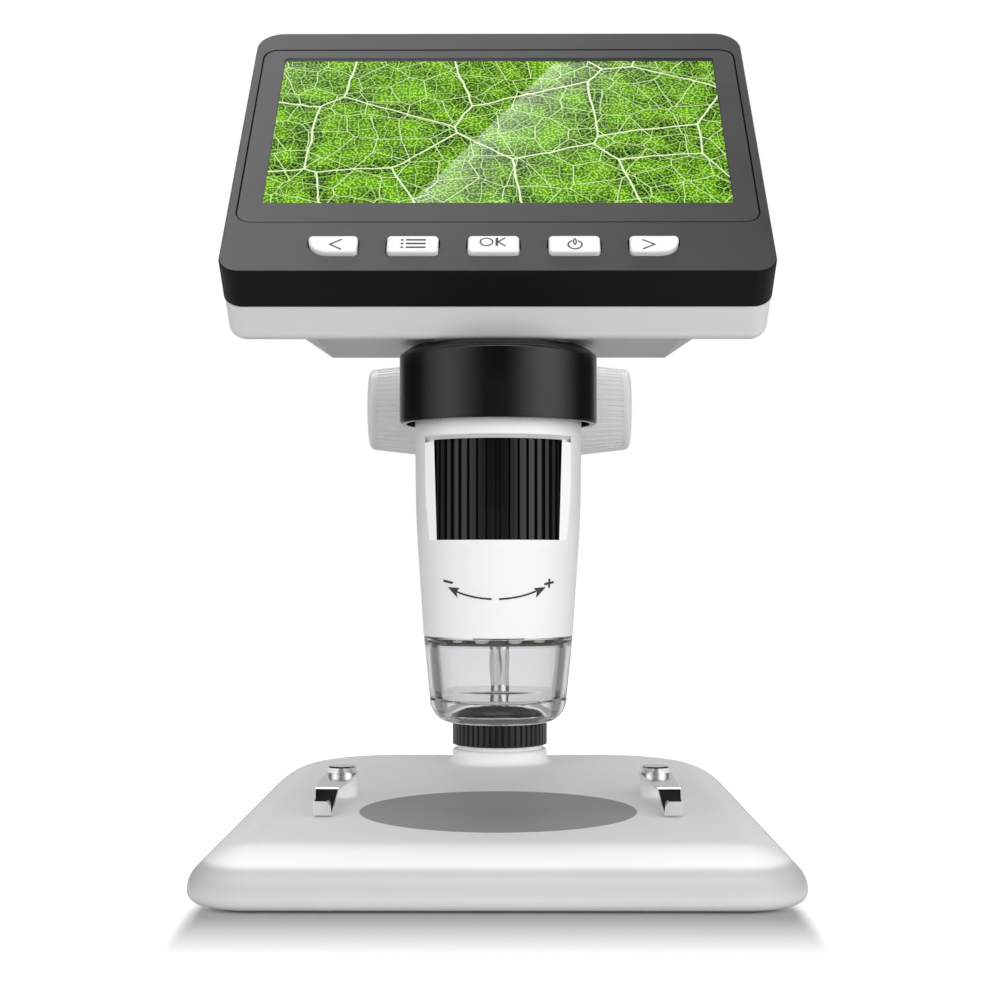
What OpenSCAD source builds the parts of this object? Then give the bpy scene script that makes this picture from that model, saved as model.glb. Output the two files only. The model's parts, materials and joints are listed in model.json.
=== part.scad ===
// Microscope with its own display, held over a flat base by a rack and pinion stand.
// Millimetres. The origin is the middle of the base's footprint, on the table.
// +Z is up and the display faces -Y.

/* [Base] */
// width of the base
base_w = 113.8; // [90:0.2:140]
// depth of the base
base_d = 159.4; // [120:0.2:200]
// height of the base's flat top above the table
base_top = 10.9; // [8:0.1:16]
// how far the rubber feet stand out
foot_h = 0.4; // [0.4:0.1:3]
// radius of a rubber foot
foot_r = 6; // [3:0.5:10]
// corner radius at the front, seen from above
base_corner_front = 13; // [12:0.5:30]
// corner radius at the back, seen from above
base_corner_back = 30; // [12:0.5:40]
// radius of the shallow arc where the top begins to fall
edge_wide_r = 15.5; // [12:0.5:30]
// radius of the tight arc down to the widest line
edge_tight_r = 5.5; // [4:0.1:8]
// angle where the shallow arc meets the tight one
edge_split = 45; // [15:1:50]
// bottom edge radius of the base
base_low_r = 1.9; // [0.5:0.1:2.1]
// wall of the hollow base
base_wall = 3; // [2:0.1:5]
// thickness of the steel bottom plate
plate_t = 2.4; // [2.2:0.1:3]
// gap between the bottom plate and the wall around it
plate_gap = 0.3; // [0.1:0.05:1]

/* [Stage] */
// radius of the round stage disc
stage_r = 28.7; // [20:0.1:34]
// thickness of the stage disc
stage_t = 1.6; // [1:0.1:2]
// gap around the stage disc
stage_gap = 0.15; // [0.05:0.05:0.5]

/* [Spring clips] */
// distance of a clip's post from the middle
clip_x = 34.1; // [32:0.1:40]
// clip posts behind the lens axis
clip_back = 20.5; // [10:0.5:30]
// height of the boss under a clip
clip_boss_h = 4.6; // [3:0.1:8]
// radius of the boss under a clip
clip_boss_r = 3.3; // [2.6:0.1:5]
// radius of the post's cap
clip_cap_r = 3.05; // [2.4:0.05:4]
// height of the post's cap
clip_cap_h = 1.5; // [1:0.1:4]
// radius of the post in the boss
clip_post_r = 1.5; // [1:0.1:2]
// thickness of the spring strip
strip_t = 0.5; // [0.3:0.05:1]
// radius of the strip's round end under the cap
strip_end_r = 3.5; // [3.2:0.1:5]
// width of the strip where it bends down
strip_w = 4.7; // [3:0.1:6]
// width of the strip at its lowest point
strip_low_w = 3.5; // [2.4:0.1:5]
// flat length of the strip, from the post to the bend
strip_len = 23.5; // [15:0.1:30]
// length of the slope from the bend to the lowest point
strip_drop = 5.5; // [3:0.1:8]
// angle by which each clip splays outwards
strip_splay = 1.8; // [0:0.1:12]
// height of the turned-up tip
tip_h = 3.6; // [1:0.1:4]

/* [Column and rack] */
// column axis in front of the base's back edge
column_edge = 25.2; // [20:0.1:40]
// column axis behind the lens axis
column_back = 84; // [70:0.5:95]
// radius of the column
column_r = 4; // [3.5:0.1:6]
// top of the column above the base's top
column_len = 143; // [120:1:155]
// rack and pinion module
gear_module = 0.8; // [0.6:0.05:1]
// teeth on the pinion
pinion_teeth = 14; // [12:1:18]
// rack pitch line in front of the column axis
rack_pitch_line = 2.9; // [2.4:0.1:3.2]
// lower end of the rack above the base's top
rack_low = 62; // [55:1:70]
// upper end of the rack above the base's top
rack_high = 136; // [110:1:140]
// rubber stop ring's underside above the base's top
stop_ring_z = 18; // [12:0.5:40]
// rubber stop ring's outer radius
stop_ring_r = 5.2; // [4.5:0.1:8]

/* [Column foot] */
// radius of the socket and the knurled nut
nut_r = 12; // [9:0.1:15]
// height of the socket above the base's top
socket_h = 4.4; // [3:0.1:8]
// radius of the narrow lip on top of the socket
socket_lip_r = 10.9; // [8:0.1:13]
// radius of the socket's thread
thread_r = 10.4; // [7:0.1:12]
// height of the nut
nut_h = 5.8; // [4:0.1:9]
// knurls around the nut
nut_knurls = 48; // [24:1:72]
// radius of the compression ring
collet_r = 8; // [6:0.1:9]

/* [Carriage] */
// height of the pinion's axis above the base's top
pinion_z = 89; // [80:0.5:95]
// width of the carriage housing
carriage_w = 33; // [26:0.5:36]
// height of the carriage housing
carriage_h = 21; // [18:0.5:26]
// housing in front of the column axis
carriage_front = 17.5; // [16:0.5:20]
// housing behind the column axis
carriage_rear = 7.5; // [6:0.5:12]
// length of each plastic bushing
bush_len = 4; // [3:0.1:4.4]
// outer radius of the bushings
bush_r = 5.6; // [5:0.1:6.5]
// radius of the pinion's shaft
shaft_r = 2; // [1.5:0.1:3]

/* [Knobs] */
// outer end of a knob from the middle
knob_out = 32.6; // [30:0.1:36]
// inner end of a knob from the middle
knob_in = 17.4; // [17:0.1:20]
// radius of a knob at its inner end
knob_r_in = 11.7; // [9:0.1:13]
// radius of a knob near its outer end
knob_r_out = 10.1; // [8:0.1:12]
// grooves around a knob
knob_grooves = 48; // [24:1:72]

/* [Holder ring] */
// outer radius of the ring
ring_r = 20.4; // [19:0.1:24]
// underside of the ring above the base's top
ring_low = 79.5; // [70:0.5:90]
// top of the ring above the base's top
ring_high = 94.1; // [85:0.1:98]
// height of the ring's thin lower skirt
skirt_h = 8; // [4:0.5:10]
// wall of the skirt
skirt_wall = 1.4; // [1:0.1:2.4]
// width of the arm behind the ring
arm_w = 22; // [16:0.5:30]

/* [Tube] */
// radius of the tube in the ring
tube_r = 17.38; // [15:0.01:19]
// radius of the tube at the top of its window
tube_window_r = 17.1; // [15:0.1:18]
// radius of the tube at the bottom of its window
tube_waist_r = 16.65; // [14:0.05:17.1]
// radius of the tube's lower end
tube_mouth_r = 15.4; // [13:0.1:16]
// lower end of the tube above the base's top
tube_low = 36; // [30:0.5:45]
// top of the tube shell above the base's top
tube_high = 90.5; // [86:0.5:93]
// bottom of the window above the base's top
window_low = 55.5; // [50:0.5:60]
// top of the window above the base's top
window_high = 75.7; // [70:0.1:78]
// half width of the window at its top
window_half_top = 12.9; // [8:0.1:14]
// half width of the window at its bottom
window_half_low = 12.3; // [8:0.1:14]
// width of the slope at each side of the window
window_slope_w = 2.4; // [0.5:0.1:3]
// height of the slope over the window
window_slope_h = 0.8; // [0.2:0.1:2]
// wall left at the foot of the slopes
window_lip = 0.35; // [0.2:0.05:1]
// inner radius of the tube
tube_bore_r = 15.7; // [14:0.1:16]
// radius of the neck inside the display housing
neck_r = 13.8; // [10:0.1:14]
// thickness of the rubber seat washer
seat_t = 1.2; // [0.5:0.1:2]

/* [Focus wheel and lens] */
// ribs around the focus wheel
wheel_ribs = 50; // [30:1:72]
// radius over the ribs
wheel_r = 15.4; // [13:0.1:15.4]
// depth of the grooves between the ribs
wheel_groove = 0.7; // [0.3:0.1:1.2]
// radius of the lens barrel
barrel_r = 11; // [8:0.1:12]
// radius of the lens
lens_r = 5.9; // [4:0.1:7]

/* [Light shade] */
// lower end of the clear shade above the base's top
shade_low = 18.3; // [12:0.1:24]
// radius of the shade where its bottom curve starts
shade_r = 14.1; // [11:0.05:15]
// height of the bottom curve
shade_curve = 5; // [2:0.1:7]
// radius where the bottom curve ends
shade_foot_r = 9.8; // [8:0.1:12]
// wall of the shade
shade_wall = 2.4; // [1:0.1:3]
// number of lamps
lamp_count = 8; // [4:1:8]

/* [Display head] */
// face beyond the window at each side
face_side = 2.1; // [1.8:0.1:6]
// face above the window
face_above = 7.1; // [4:0.1:12]
// face below the middle of the button row
face_below = 7.3; // [5:0.1:12]
// how far the face leans back from upright
face_tilt = 41.6; // [30:0.1:50]
// lower edge of the face in front of the lens axis
head_front = 28.13; // [24:0.01:32]
// lower edge of the face above the base's top
head_low = 106.77; // [104:0.01:112]
// radius of the face's upper corners
face_r = 5.8; // [4:0.1:12]
// radius of the face's lower corners
face_low_r = 4.2; // [4:0.1:12]
// rounding of the face's edge
face_edge_r = 0.35; // [0.2:0.05:1.5]
// thickness of the dark bezel
bezel_t = 9; // [7:0.1:12]
// thickness of bezel and rear case together
head_t = 18.6; // [15:0.1:22]
// bezel wall
bezel_wall = 2; // [1.5:0.1:3]
// how far the rear case sits in from the bezel
rear_inset = 0.2; // [0.2:0.1:0.4]
// rear case wall
rear_wall = 1.8; // [1.5:0.1:3]

/* [Screen] */
// width of the lit area of a 4.3 inch display
display_w = 95.04; // [90:0.01:100]
// height of the lit area
display_h = 53.86; // [50:0.01:60]
// centre of the lit area above the centre of the window
display_up = 2.1; // [0:0.1:3]
// clear window beyond the lit area at each side
window_side = 4.28; // [3:0.01:6]
// clear window beyond the lit area above and below, both together
window_ends = 8.14; // [4:0.01:12]
// dark groove around the window
window_groove = 0.35; // [0.1:0.05:0.6]
// thickness of the window
window_t = 0.8; // [0.8:0.05:1.2]
// thickness of the black mask behind the window
mask_t = 0.15; // [0.1:0.05:0.3]

/* [Buttons] */
// spacing of the buttons
button_pitch = 15.7; // [14:0.1:17]
// middle button to the left of the face centre
button_shift = 0.8; // [-2:0.1:2]
// middle of the button row below the window
button_row = 8.2; // [6:0.1:14]
// width of a button
button_w = 10; // [8:0.1:12]
// width of the outermost buttons
button_end_w = 9.6; // [8:0.1:12]
// height of a button
button_h = 4.9; // [4.8:0.1:8]
// how far a button stands out of the face
button_up = 1.1; // [0.6:0.1:2.5]
// corner radius of a button
button_r = 0.9; // [0.8:0.1:2]
// large corner radius of the outermost buttons
button_big_r = 3.9; // [2:0.1:6]
// gap around a button
button_gap = 0.3; // [0.2:0.05:0.6]

/* [Housing behind the head] */
// half width of the housing
pod_half = 44.4; // [38:0.5:48]
// half width of the housing's flat underside
pod_half_low = 36.6; // [30:0.1:44]
// height of the sloped ends
pod_slope = 5.3; // [2:0.1:10]
// underside of the housing above the base's top
pod_low = 96; // [95:0.1:99]
// back wall of the housing behind the lens axis
pod_back = 22.4; // [18:0.1:26]
// radius of the battery
battery_r = 9.2; // [7:0.1:9.3]
// length of the battery
battery_len = 65; // [50:0.5:66]

/* [Side controls] */
// radius of the lamp dimmer wheel
dimmer_r = 7; // [5:0.1:8]
// thickness of the lamp dimmer wheel
dimmer_t = 3; // [2:0.1:3.2]

/* [Hidden] */
$fn = 72;
tiny = 0.02;
slide_gap = 0.06;
fixed_gap = 0.03;
column_y = base_d / 2 - column_edge;
tube_y = column_y - column_back;
shell_h = base_top - foot_h;
clip_y = tube_y + clip_back;
clip_mid = clip_boss_h + strip_t + 0.05;
gear_pitch = PI * gear_module;
pitch_r = gear_module * pinion_teeth / 2;
pinion_dy = rack_pitch_line + pitch_r;
gear_angle = 20;
tooth_base_r = pitch_r * cos(gear_angle);
tooth_top_r = pitch_r + 0.9 * gear_module;
tooth_root_r = pitch_r - 1.05 * gear_module;
tooth_slack = 0.07;
rack_tip = rack_pitch_line + 0.78 * gear_module;
rack_root = rack_pitch_line - 1.2 * gear_module;
window_w = display_w + 2 * window_side;
window_h = display_h + window_ends;
face_w = window_w + 2 * face_side;
face_h = face_above + window_h + button_row + face_below;
window_v = (face_h - window_h) / 2 - face_above;
display_v = window_v + display_up;
button_drop = face_h / 2 - face_below;
head_dy = face_h / 2 * sin(face_tilt) - head_front;
head_dz = head_low + face_h / 2 * cos(face_tilt);
ribbon_y = -4.9;
frame_w = display_w + 5.36;
frame_h = display_h + 5.14;
ring_bore_r = tube_r + slide_gap;
skirt_r = ring_r - skirt_wall;
seat_r = tube_r + 2;
seat_top = ring_high + seat_t;
neck_top = seat_top + 5;
wheel_low = window_low - 0.3;
wheel_high = window_high + 0.3;
ledge_z = wheel_low - 0.2;
barrel_low = tube_low + 8;
barrel_high = window_high - 3.7;
barrel_bore_r = barrel_r + slide_gap;
sleeve_low = tube_low + 5;
sleeve_r = barrel_r + 2.6;
board_low = tube_low + 3.6;
collar_r = tube_mouth_r - 1.95;
plug_r = tube_bore_r - fixed_gap;
plate_top = foot_h + plate_t;
foot_sink = 0.8;
face_plate = 2;
pocket = mask_t + window_t + 0.05;
board_front = -8.6;
board_t = 1.6;
board_back = board_front - board_t;
display_open = 2.4;
rear_w = face_w - 2 * rear_inset;
rear_h = face_h - 2 * rear_inset;
boss_x = face_w / 2 - 7.3;
boss_v = face_h / 2 - 6.65;
top_boss_x = face_w / 2 - 8.8;
top_boss_v = face_h / 2 - 4.25;
board_half = face_w / 2 - bezel_wall - 2.9;
battery_y = pod_back - 2 - battery_r - 0.4;
battery_z = neck_top + battery_r + 1;
cover_z = battery_z;
cover_w = 2 * pod_half - 8.8;
cover_h = 2 * battery_r + 4;
cover_screw_x = cover_w / 2 - 2.6;
dimmer_x = rear_w / 2 + 1.2 - dimmer_r;
dimmer_v = 10;
dimmer_n = -12;
usb_v = 8;
card_v = -10;
leg_x = base_w / 2 - 14;
leg_front = base_d / 2 - 15;
leg_back = base_d / 2 - 20;
screw_x = base_w / 2 - 28;
screw_front = base_d / 2 - 14;
screw_back = base_d / 2 - 14;

// ---------- places ----------
module at_tube() { translate([0, tube_y, base_top]) children(); }
module at_column() { translate([0, column_y, base_top]) children(); }
module at_pinion() {
    translate([0, column_y - pinion_dy, base_top + pinion_z]) children();
}
module on_head() {
    translate([0, tube_y + head_dy, base_top + head_dz]) rotate([90 - face_tilt, 0, 0]) children();
}
module four(x, front, back) {
    for (s = [-1, 1]) {
        translate([s * x, -front, 0]) children();
        translate([s * x, back, 0]) children();
    }
}

// ---------- shapes ----------
function corners(w, d, r) = [[-w / 2 + r[0], -d / 2 + r[0]], [w / 2 - r[1], -d / 2 + r[1]],
    [w / 2 - r[2], d / 2 - r[2]], [-w / 2 + r[3], d / 2 - r[3]]];

// flat outline with four corner radii: front left, front right, back right, back left
module outline(w, d, r) {
    c = corners(w, d, r);
    for (i = [0:3]) translate(c[i]) circle(r[i]);
    polygon([[-w / 2, c[0][1]], c[0], [c[0][0], -d / 2], [c[1][0], -d / 2], c[1],
        [w / 2, c[1][1]], [w / 2, c[2][1]], c[2], [c[2][0], d / 2], [c[3][0], d / 2], c[3],
        [-w / 2, c[3][1]]]);
}
module side_run(x, y, turn, len) {
    translate([x, y, 0]) rotate([0, 0, turn]) rotate([90, 0, 0]) linear_extrude(len) children();
}
// slab whose edge section is the child, drawn from x = -e to x = 0 and y = 0 to y = h
module edged_slab(w, d, h, r, e) {
    c = corners(w, d, r);
    for (i = [0:3]) translate([c[i][0], c[i][1], 0]) rotate([0, 0, 180 + 90 * i])
        rotate_extrude(angle = 90) {
            translate([r[i], 0]) children();
            square([r[i] - e, h]);
        }
    side_run(w / 2, c[2][1], 0, c[2][1] - c[1][1]) children();
    side_run(-w / 2, c[0][1], 180, c[3][1] - c[0][1]) children();
    side_run(c[3][0], d / 2, 90, c[2][0] - c[3][0]) children();
    side_run(c[1][0], -d / 2, 270, c[1][0] - c[0][0]) children();
    linear_extrude(h) polygon([[-w / 2 + e, c[0][1]], c[0], [c[0][0], -d / 2 + e],
        [c[1][0], -d / 2 + e], c[1], [w / 2 - e, c[1][1]], [w / 2 - e, c[2][1]], c[2],
        [c[2][0], d / 2 - e], [c[3][0], d / 2 - e], c[3], [-w / 2 + e, c[3][1]]]);
}
function soft_reach(wide, tight) = tight + (wide - tight) * sin(edge_split);
function soft_drop(wide, tight) = wide - (wide - tight) * cos(edge_split);
// edge section with a shallow arc, a tight arc and a small bottom radius
module soft_edge(h, wide, tight, low) {
    e = soft_reach(wide, tight);
    y = h - soft_drop(wide, tight);
    intersection() {
        translate([-e, 0]) square([e, h]);
        union() {
            intersection() {
                translate([-e, h - wide]) circle(wide, $fn = 360);
                polygon([[-e, h - wide], [-e, h + 1], [-e + tan(edge_split) * (wide + 1), h + 1]]);
            }
            intersection() {
                translate([-tight, y]) circle(tight, $fn = 144);
                translate([-2 * tight, y]) square([2 * tight, tight]);
            }
            polygon([[-e, 0], [-low, 0], [-low, low], [0, low], [0, y],
                [-tight + tight * sin(edge_split), y + tight * cos(edge_split)], [-e, h]]);
            intersection() {
                translate([-low, low]) circle(low);
                translate([-low, 0]) square(low);
            }
        }
    }
}
// edge section with a rounded top and a rounded bottom
module round_edge(h, e, top, low) {
    polygon([[-e, 0], [-low, 0], [-low, low], [0, low], [0, h - top], [-top, h - top],
        [-top, h], [-e, h]]);
    translate([-low, low]) mirror([0, 1]) quarter(low);
    translate([-top, h - top]) quarter(top);
}
module quarter(r) {
    intersection() {
        circle(r);
        square(r);
    }
}
module ring(r_out, r_in, z, h) {
    translate([0, 0, z]) difference() {
        cylinder(r = r_out, h = h);
        translate([0, 0, -1]) cylinder(r = r_in, h = h + 2);
    }
}
// concave fillet ring that blends a round boss into a flat face
module foot_fillet(r, f) {
    rotate_extrude() difference() {
        translate([r - 0.2, -0.2]) square([f + 0.2, f + 0.2]);
        translate([r + f, f]) circle(f);
    }
}
// outline of a toothed wheel: n teeth between radius r - depth and radius r
module toothed(n, r, depth, duty) {
    step = 360 / n;
    polygon([for (i = [0:n - 1]) for (k = [0:3])
        let (a = i * step + [-0.5 * duty, -0.3 * duty, 0.3 * duty, 0.5 * duty][k] * step,
            q = (k == 0 || k == 3) ? r - depth : r) [q * cos(a), q * sin(a)]]);
}

// ---------- stand ----------
module base_shell() {
    color([0.93, 0.93, 0.93]) difference() {
        union() {
            difference() {
                translate([0, 0, foot_h]) edged_slab(base_w, base_d, shell_h,
                    [base_corner_front, base_corner_front, base_corner_back, base_corner_back],
                    soft_reach(edge_wide_r, edge_tight_r))
                    soft_edge(shell_h, edge_wide_r, edge_tight_r, base_low_r);
                base_cavity();
            }
            translate([0, tube_y, base_top - 4]) cylinder(r = stage_r + 2.4, h = 3.6);
            translate([0, column_y, plate_top]) cylinder(r = 9, h = shell_h - plate_t - 1);
            four(screw_x, screw_front, screw_back) translate([0, 0, plate_top])
                cylinder(r = 3.6, h = shell_h - plate_t - 1);
            at_column() rotate_extrude() {
                translate([0, -1]) square([nut_r, socket_h - 0.7]);
                square([nut_r - 0.8, socket_h - 0.9]);
                translate([nut_r - 0.8, socket_h - 1.7]) quarter(0.8);
                square([socket_lip_r, socket_h]);
            }
            at_column() foot_fillet(nut_r, 1.8);
            at_column() cylinder(r = thread_r, h = nut_h + socket_h - 2.3);
            for (s = [-1, 1]) translate([s * clip_x, clip_y, base_top]) {
                translate([0, 0, -6]) cylinder(r = clip_boss_r, h = clip_boss_h + 6);
                foot_fillet(clip_boss_r, 0.8);
            }
        }
        at_tube() translate([0, 0, -stage_t]) cylinder(r = stage_r + stage_gap, h = stage_t + 1);
        at_column() translate([0, 0, -20]) cylinder(r = column_r + fixed_gap, h = base_top + 30);
        at_column() translate([0, 0, socket_h + 1]) cylinder(r = collet_r + 0.2, h = 10);
        for (s = [-1, 1]) translate([s * clip_x, clip_y, base_top - 5])
            cylinder(r = clip_post_r, h = 20);
        four(screw_x, screw_front, screw_back) translate([0, 0, 0]) cylinder(r = 1.5, h = 8);
    }
}
module base_cavity() {
    w = base_w - 2 * base_wall;
    d = base_d - 2 * base_wall;
    h = shell_h + 1 - 0.8 * base_wall;
    f = base_corner_front - base_wall;
    b = base_corner_back - base_wall;
    wide = edge_wide_r - base_wall;
    tight = edge_tight_r - base_wall + 0.4;
    translate([0, 0, foot_h - 1]) edged_slab(w, d, h, [f, f, b, b], soft_reach(wide, tight))
        soft_edge(h, wide, tight, 0.4);
}
module base_plate() {
    w = base_w - 2 * base_wall - 2 * plate_gap;
    d = base_d - 2 * base_wall - 2 * plate_gap;
    f = base_corner_front - base_wall - plate_gap;
    b = base_corner_back - base_wall - plate_gap;
    color([0.45, 0.46, 0.48]) difference() {
        translate([0, 0, foot_h]) linear_extrude(plate_t) outline(w, d, [f, f, b, b]);
        four(leg_x, leg_front, leg_back) cylinder(r = foot_r + 0.05, h = foot_h + foot_sink);
        four(screw_x, screw_front, screw_back) flat_screw(1.6, 3.05, 9);
        translate([0, column_y, 0]) flat_screw(2.1, 4.05, 9);
    }
}
// countersunk screw that points up, head flush with the underside of the plate
module flat_screw(r, head, len) {
    translate([0, 0, foot_h]) cylinder(r1 = head, r2 = r, h = head - r);
    translate([0, 0, foot_h]) cylinder(r = r, h = len);
}
module base_screws() {
    color([0.6, 0.6, 0.62]) four(screw_x, screw_front, screw_back) driven_screw(1.5, 2.95, 6.6);
}
module column_screw() {
    color([0.6, 0.6, 0.62]) translate([0, column_y, 0]) driven_screw(2, 3.95, 14);
}
module driven_screw(r, head, len) {
    difference() {
        flat_screw(r, head, len);
        for (a = [0, 90]) rotate([0, 0, a]) translate([-head * 0.6, -0.35, 0])
            cube([head * 1.2, 0.7, foot_h + 0.7]);
    }
}
module rubber_feet() {
    color([0.1, 0.1, 0.1]) four(leg_x, leg_front, leg_back) cylinder(r = foot_r, h = foot_h + foot_sink);
}
module stage_disc() {
    color([0.58, 0.58, 0.58]) at_tube() translate([0, 0, -stage_t])
        cylinder(r = stage_r, h = stage_t);
}
module clip_studs() {
    color([0.85, 0.85, 0.87]) for (s = [-1, 1]) translate([s * clip_x, clip_y, base_top]) {
        translate([0, 0, clip_mid]) cylinder(r = clip_cap_r, h = clip_cap_h - 0.3);
        translate([0, 0, clip_mid + clip_cap_h - 0.3])
            cylinder(r1 = clip_cap_r, r2 = clip_cap_r - 0.3, h = 0.3);
        translate([0, 0, -5]) cylinder(r = clip_post_r, h = clip_mid + 5.1);
    }
}
// one strip drawn at its post: section across the bend, trimmed to the plan outline
module clip_strip() {
    z = clip_boss_h + 0.02;
    a = -strip_len;
    low = 0.3;
    b = a - strip_drop;
    c = b - 3.5;
    w = strip_w / 2;
    q = strip_low_w / 2;
    difference() {
        intersection() {
            rotate([90, 0, 90]) translate([0, 0, -10]) linear_extrude(20)
                polygon([[5, z], [5, z + strip_t], [a - 0.1, z + strip_t], [a - 0.65, z + strip_t * 0.55],
                    [b - 0.45, low + strip_t + 0.25], [b - 1.1, low + strip_t + 0.1],
                    [c - 0.1, low + tip_h], [c - 0.55, low + tip_h - 0.3], [b - 1.4, low + 0.15],
                    [b - 0.9, low], [b - 0.1, low], [a + 0.05, z]]);
            translate([0, 0, -1]) linear_extrude(20) {
                circle(strip_end_r);
                polygon([[-strip_end_r + 0.1, -0.8], [-w, a], [-q, b], [-q, c + 0.4], [-q + 0.6, c - 0.6],
                    [q - 0.6, c - 0.6], [q, c + 0.4], [q, b], [w, a], [strip_end_r - 0.1, -0.8]]);
            }
        }
        translate([0, 0, -1]) cylinder(r = clip_post_r + slide_gap, h = 20);
    }
}
module clip_left() {
    color([0.86, 0.86, 0.88]) translate([-clip_x, clip_y, base_top])
        rotate([0, 0, -strip_splay]) clip_strip();
}
module clip_right() {
    color([0.86, 0.86, 0.88]) translate([clip_x, clip_y, base_top]) mirror([1, 0, 0])
        rotate([0, 0, -strip_splay]) clip_strip();
}
// saw outline of the rack: x is forward of the column axis, y is height
module rack_gaps() {
    gap_top = gear_pitch / 4 + (rack_tip - rack_pitch_line) * tan(gear_angle);
    gap_low = gear_pitch / 4 - (rack_pitch_line - rack_root) * tan(gear_angle);
    n_up = floor((rack_high - pinion_z) / gear_pitch);
    n_down = floor((pinion_z - rack_low) / gear_pitch);
    polygon(concat([for (i = [-n_down:n_up]) for (k = [0:3])
        let (h = pinion_z + i * gear_pitch,
            z = [-gap_top, -gap_low, gap_low, gap_top][k],
            q = (k == 0 || k == 3) ? rack_tip : rack_root) [q, h + z]],
        [[column_r + 2, pinion_z + (n_up + 0.49) * gear_pitch],
            [column_r + 2, pinion_z - (n_down + 0.49) * gear_pitch]]));
}
module column() {
    color([0.82, 0.83, 0.85]) difference() {
        translate([0, column_y, plate_top]) cylinder(r = column_r, h = base_top + column_len - plate_top);
        translate([0, column_y, 0]) cylinder(r = 2, h = 16);
        at_column() rotate([90, 0, -90]) translate([0, 0, -column_r - 1])
            linear_extrude(2 * column_r + 2) rack_gaps();
    }
}
module column_cap() {
    color([0.12, 0.12, 0.13]) at_column() translate([0, 0, column_len - 5]) difference() {
        rotate_extrude() {
            square([column_r + 1.5, 7]);
            square([column_r + 0.5, 8]);
            translate([column_r + 0.5, 7]) circle(1);
        }
        translate([0, 0, -1]) cylinder(r = column_r + fixed_gap, h = 6);
    }
}
module stop_ring() {
    color([0.09, 0.09, 0.09]) at_column() ring(stop_ring_r, column_r, stop_ring_z, 1.5);
}
module lock_nut() {
    color([0.1, 0.1, 0.1]) at_column() translate([0, 0, socket_h + 0.2]) difference() {
        linear_extrude(nut_h) toothed(nut_knurls, nut_r, 0.45, 0.9);
        translate([0, 0, -1]) cylinder(r = thread_r + slide_gap, h = nut_h - 0.9);
        cylinder(r = column_r + 0.4, h = nut_h + 1);
    }
}
module compression_ring() {
    color([0.9, 0.88, 0.8]) at_column()
        ring(collet_r, column_r + 0.05, socket_h + 1.3, nut_h - 3);
}

// ---------- carriage ----------
module carriage() {
    d = carriage_front + carriage_rear;
    mid = (carriage_rear - carriage_front) / 2;
    color([0.08, 0.08, 0.09]) difference() {
        at_column() translate([0, mid, pinion_z - carriage_h / 2])
            edged_slab(carriage_w, d, carriage_h, [1.6, 1.6, 4, 4], 1.5)
            round_edge(carriage_h, 1.5, 1, 1);
        at_column() cylinder(r = bush_r, h = column_len);
        at_pinion() rotate([0, 90, 0]) translate([0, 0, -4.2]) cylinder(r = tooth_top_r + 0.7, h = 8.4);
        at_pinion() translate([-4.2, -20, -tooth_top_r - 0.7]) cube([8.4, 20, 2 * tooth_top_r + 1.4]);
        at_pinion() rotate([0, 90, 0]) translate([0, 0, -30]) cylinder(r = shaft_r + slide_gap, h = 60);
        at_column() translate([0, 0, pinion_z]) rotate([-90, 0, 0]) cylinder(r = 2.5, h = 20);
        arm_screw_spots() rotate([-90, 0, 0]) cylinder(r = 1.5, h = 5.4);
    }
}
module arm_screw_spots() {
    for (s = [-1, 1]) at_column() translate([s * 10.5, -carriage_front, pinion_z]) children();
}
module bushings() {
    color([0.92, 0.9, 0.84]) at_column() {
        ring(bush_r, column_r + slide_gap, pinion_z - carriage_h / 2 + 0.2, bush_len);
        ring(bush_r, column_r + slide_gap, pinion_z + carriage_h / 2 - 0.2 - bush_len, bush_len);
    }
}
module friction_pad() {
    color([0.75, 0.72, 0.66]) at_column() translate([0, column_r + 0.04, pinion_z])
        rotate([-90, 0, 0]) cylinder(r = 2.45, h = 2);
}
module tension_screw() {
    color([0.7, 0.7, 0.72]) at_column() translate([0, column_r + 2.04, pinion_z])
        rotate([-90, 0, 0]) difference() {
            union() {
                cylinder(r = 2.5, h = carriage_rear - column_r - 1.8);
                translate([0, 0, carriage_rear - column_r - 1.9]) linear_extrude(3.4)
                    toothed(24, 4.2, 0.4, 0.9);
            }
            translate([-3, -0.4, carriage_rear - column_r + 0.7]) cube([6, 0.8, 3]);
        }
}
module holder_ring() {
    color([0.05, 0.05, 0.055]) difference() {
        union() {
            at_tube() translate([0, 0, ring_low]) rotate_extrude() {
                square([ring_r - 1, ring_high - ring_low]);
                translate([0, 0.3]) square([ring_r, ring_high - ring_low - 1.3]);
                translate([ring_r - 1, ring_high - ring_low - 1]) circle(1);
                translate([ring_r - 1, 0]) square([0.7, 1]);
            }
            at_tube() translate([-arm_w / 2, 10, ring_low + 1])
                cube([arm_w, column_back - carriage_front - 12, ring_high - ring_low - 2]);
            at_column() translate([-carriage_w / 2 + 1.5, -carriage_front - 3.5, pinion_z - 9.3])
                cube([carriage_w - 3, 3.5, 18.6]);
        }
        at_tube() translate([0, 0, ring_low - 1]) cylinder(r = ring_bore_r, h = 30);
        at_tube() translate([0, 0, ring_low - 1]) cylinder(r = skirt_r, h = skirt_h + 1);
        arm_screw_spots() translate([0, -10, 0]) rotate([-90, 0, 0]) cylinder(r = 1.6, h = 20);
        arm_screw_spots() translate([0, -13.5, 0]) rotate([-90, 0, 0]) cylinder(r = 3, h = 12);
    }
}
module arm_screws() {
    color([0.7, 0.7, 0.72]) arm_screw_spots() rotate([-90, 0, 0]) difference() {
        union() {
            translate([0, 0, -1.5]) cylinder(r = 1.5, h = 6.5);
            translate([0, 0, -3.6]) cylinder(r = 2.8, h = 2.1);
        }
        translate([0, 0, -4]) cylinder(r = 1.4, h = 1.4, $fn = 6);
    }
}
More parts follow.
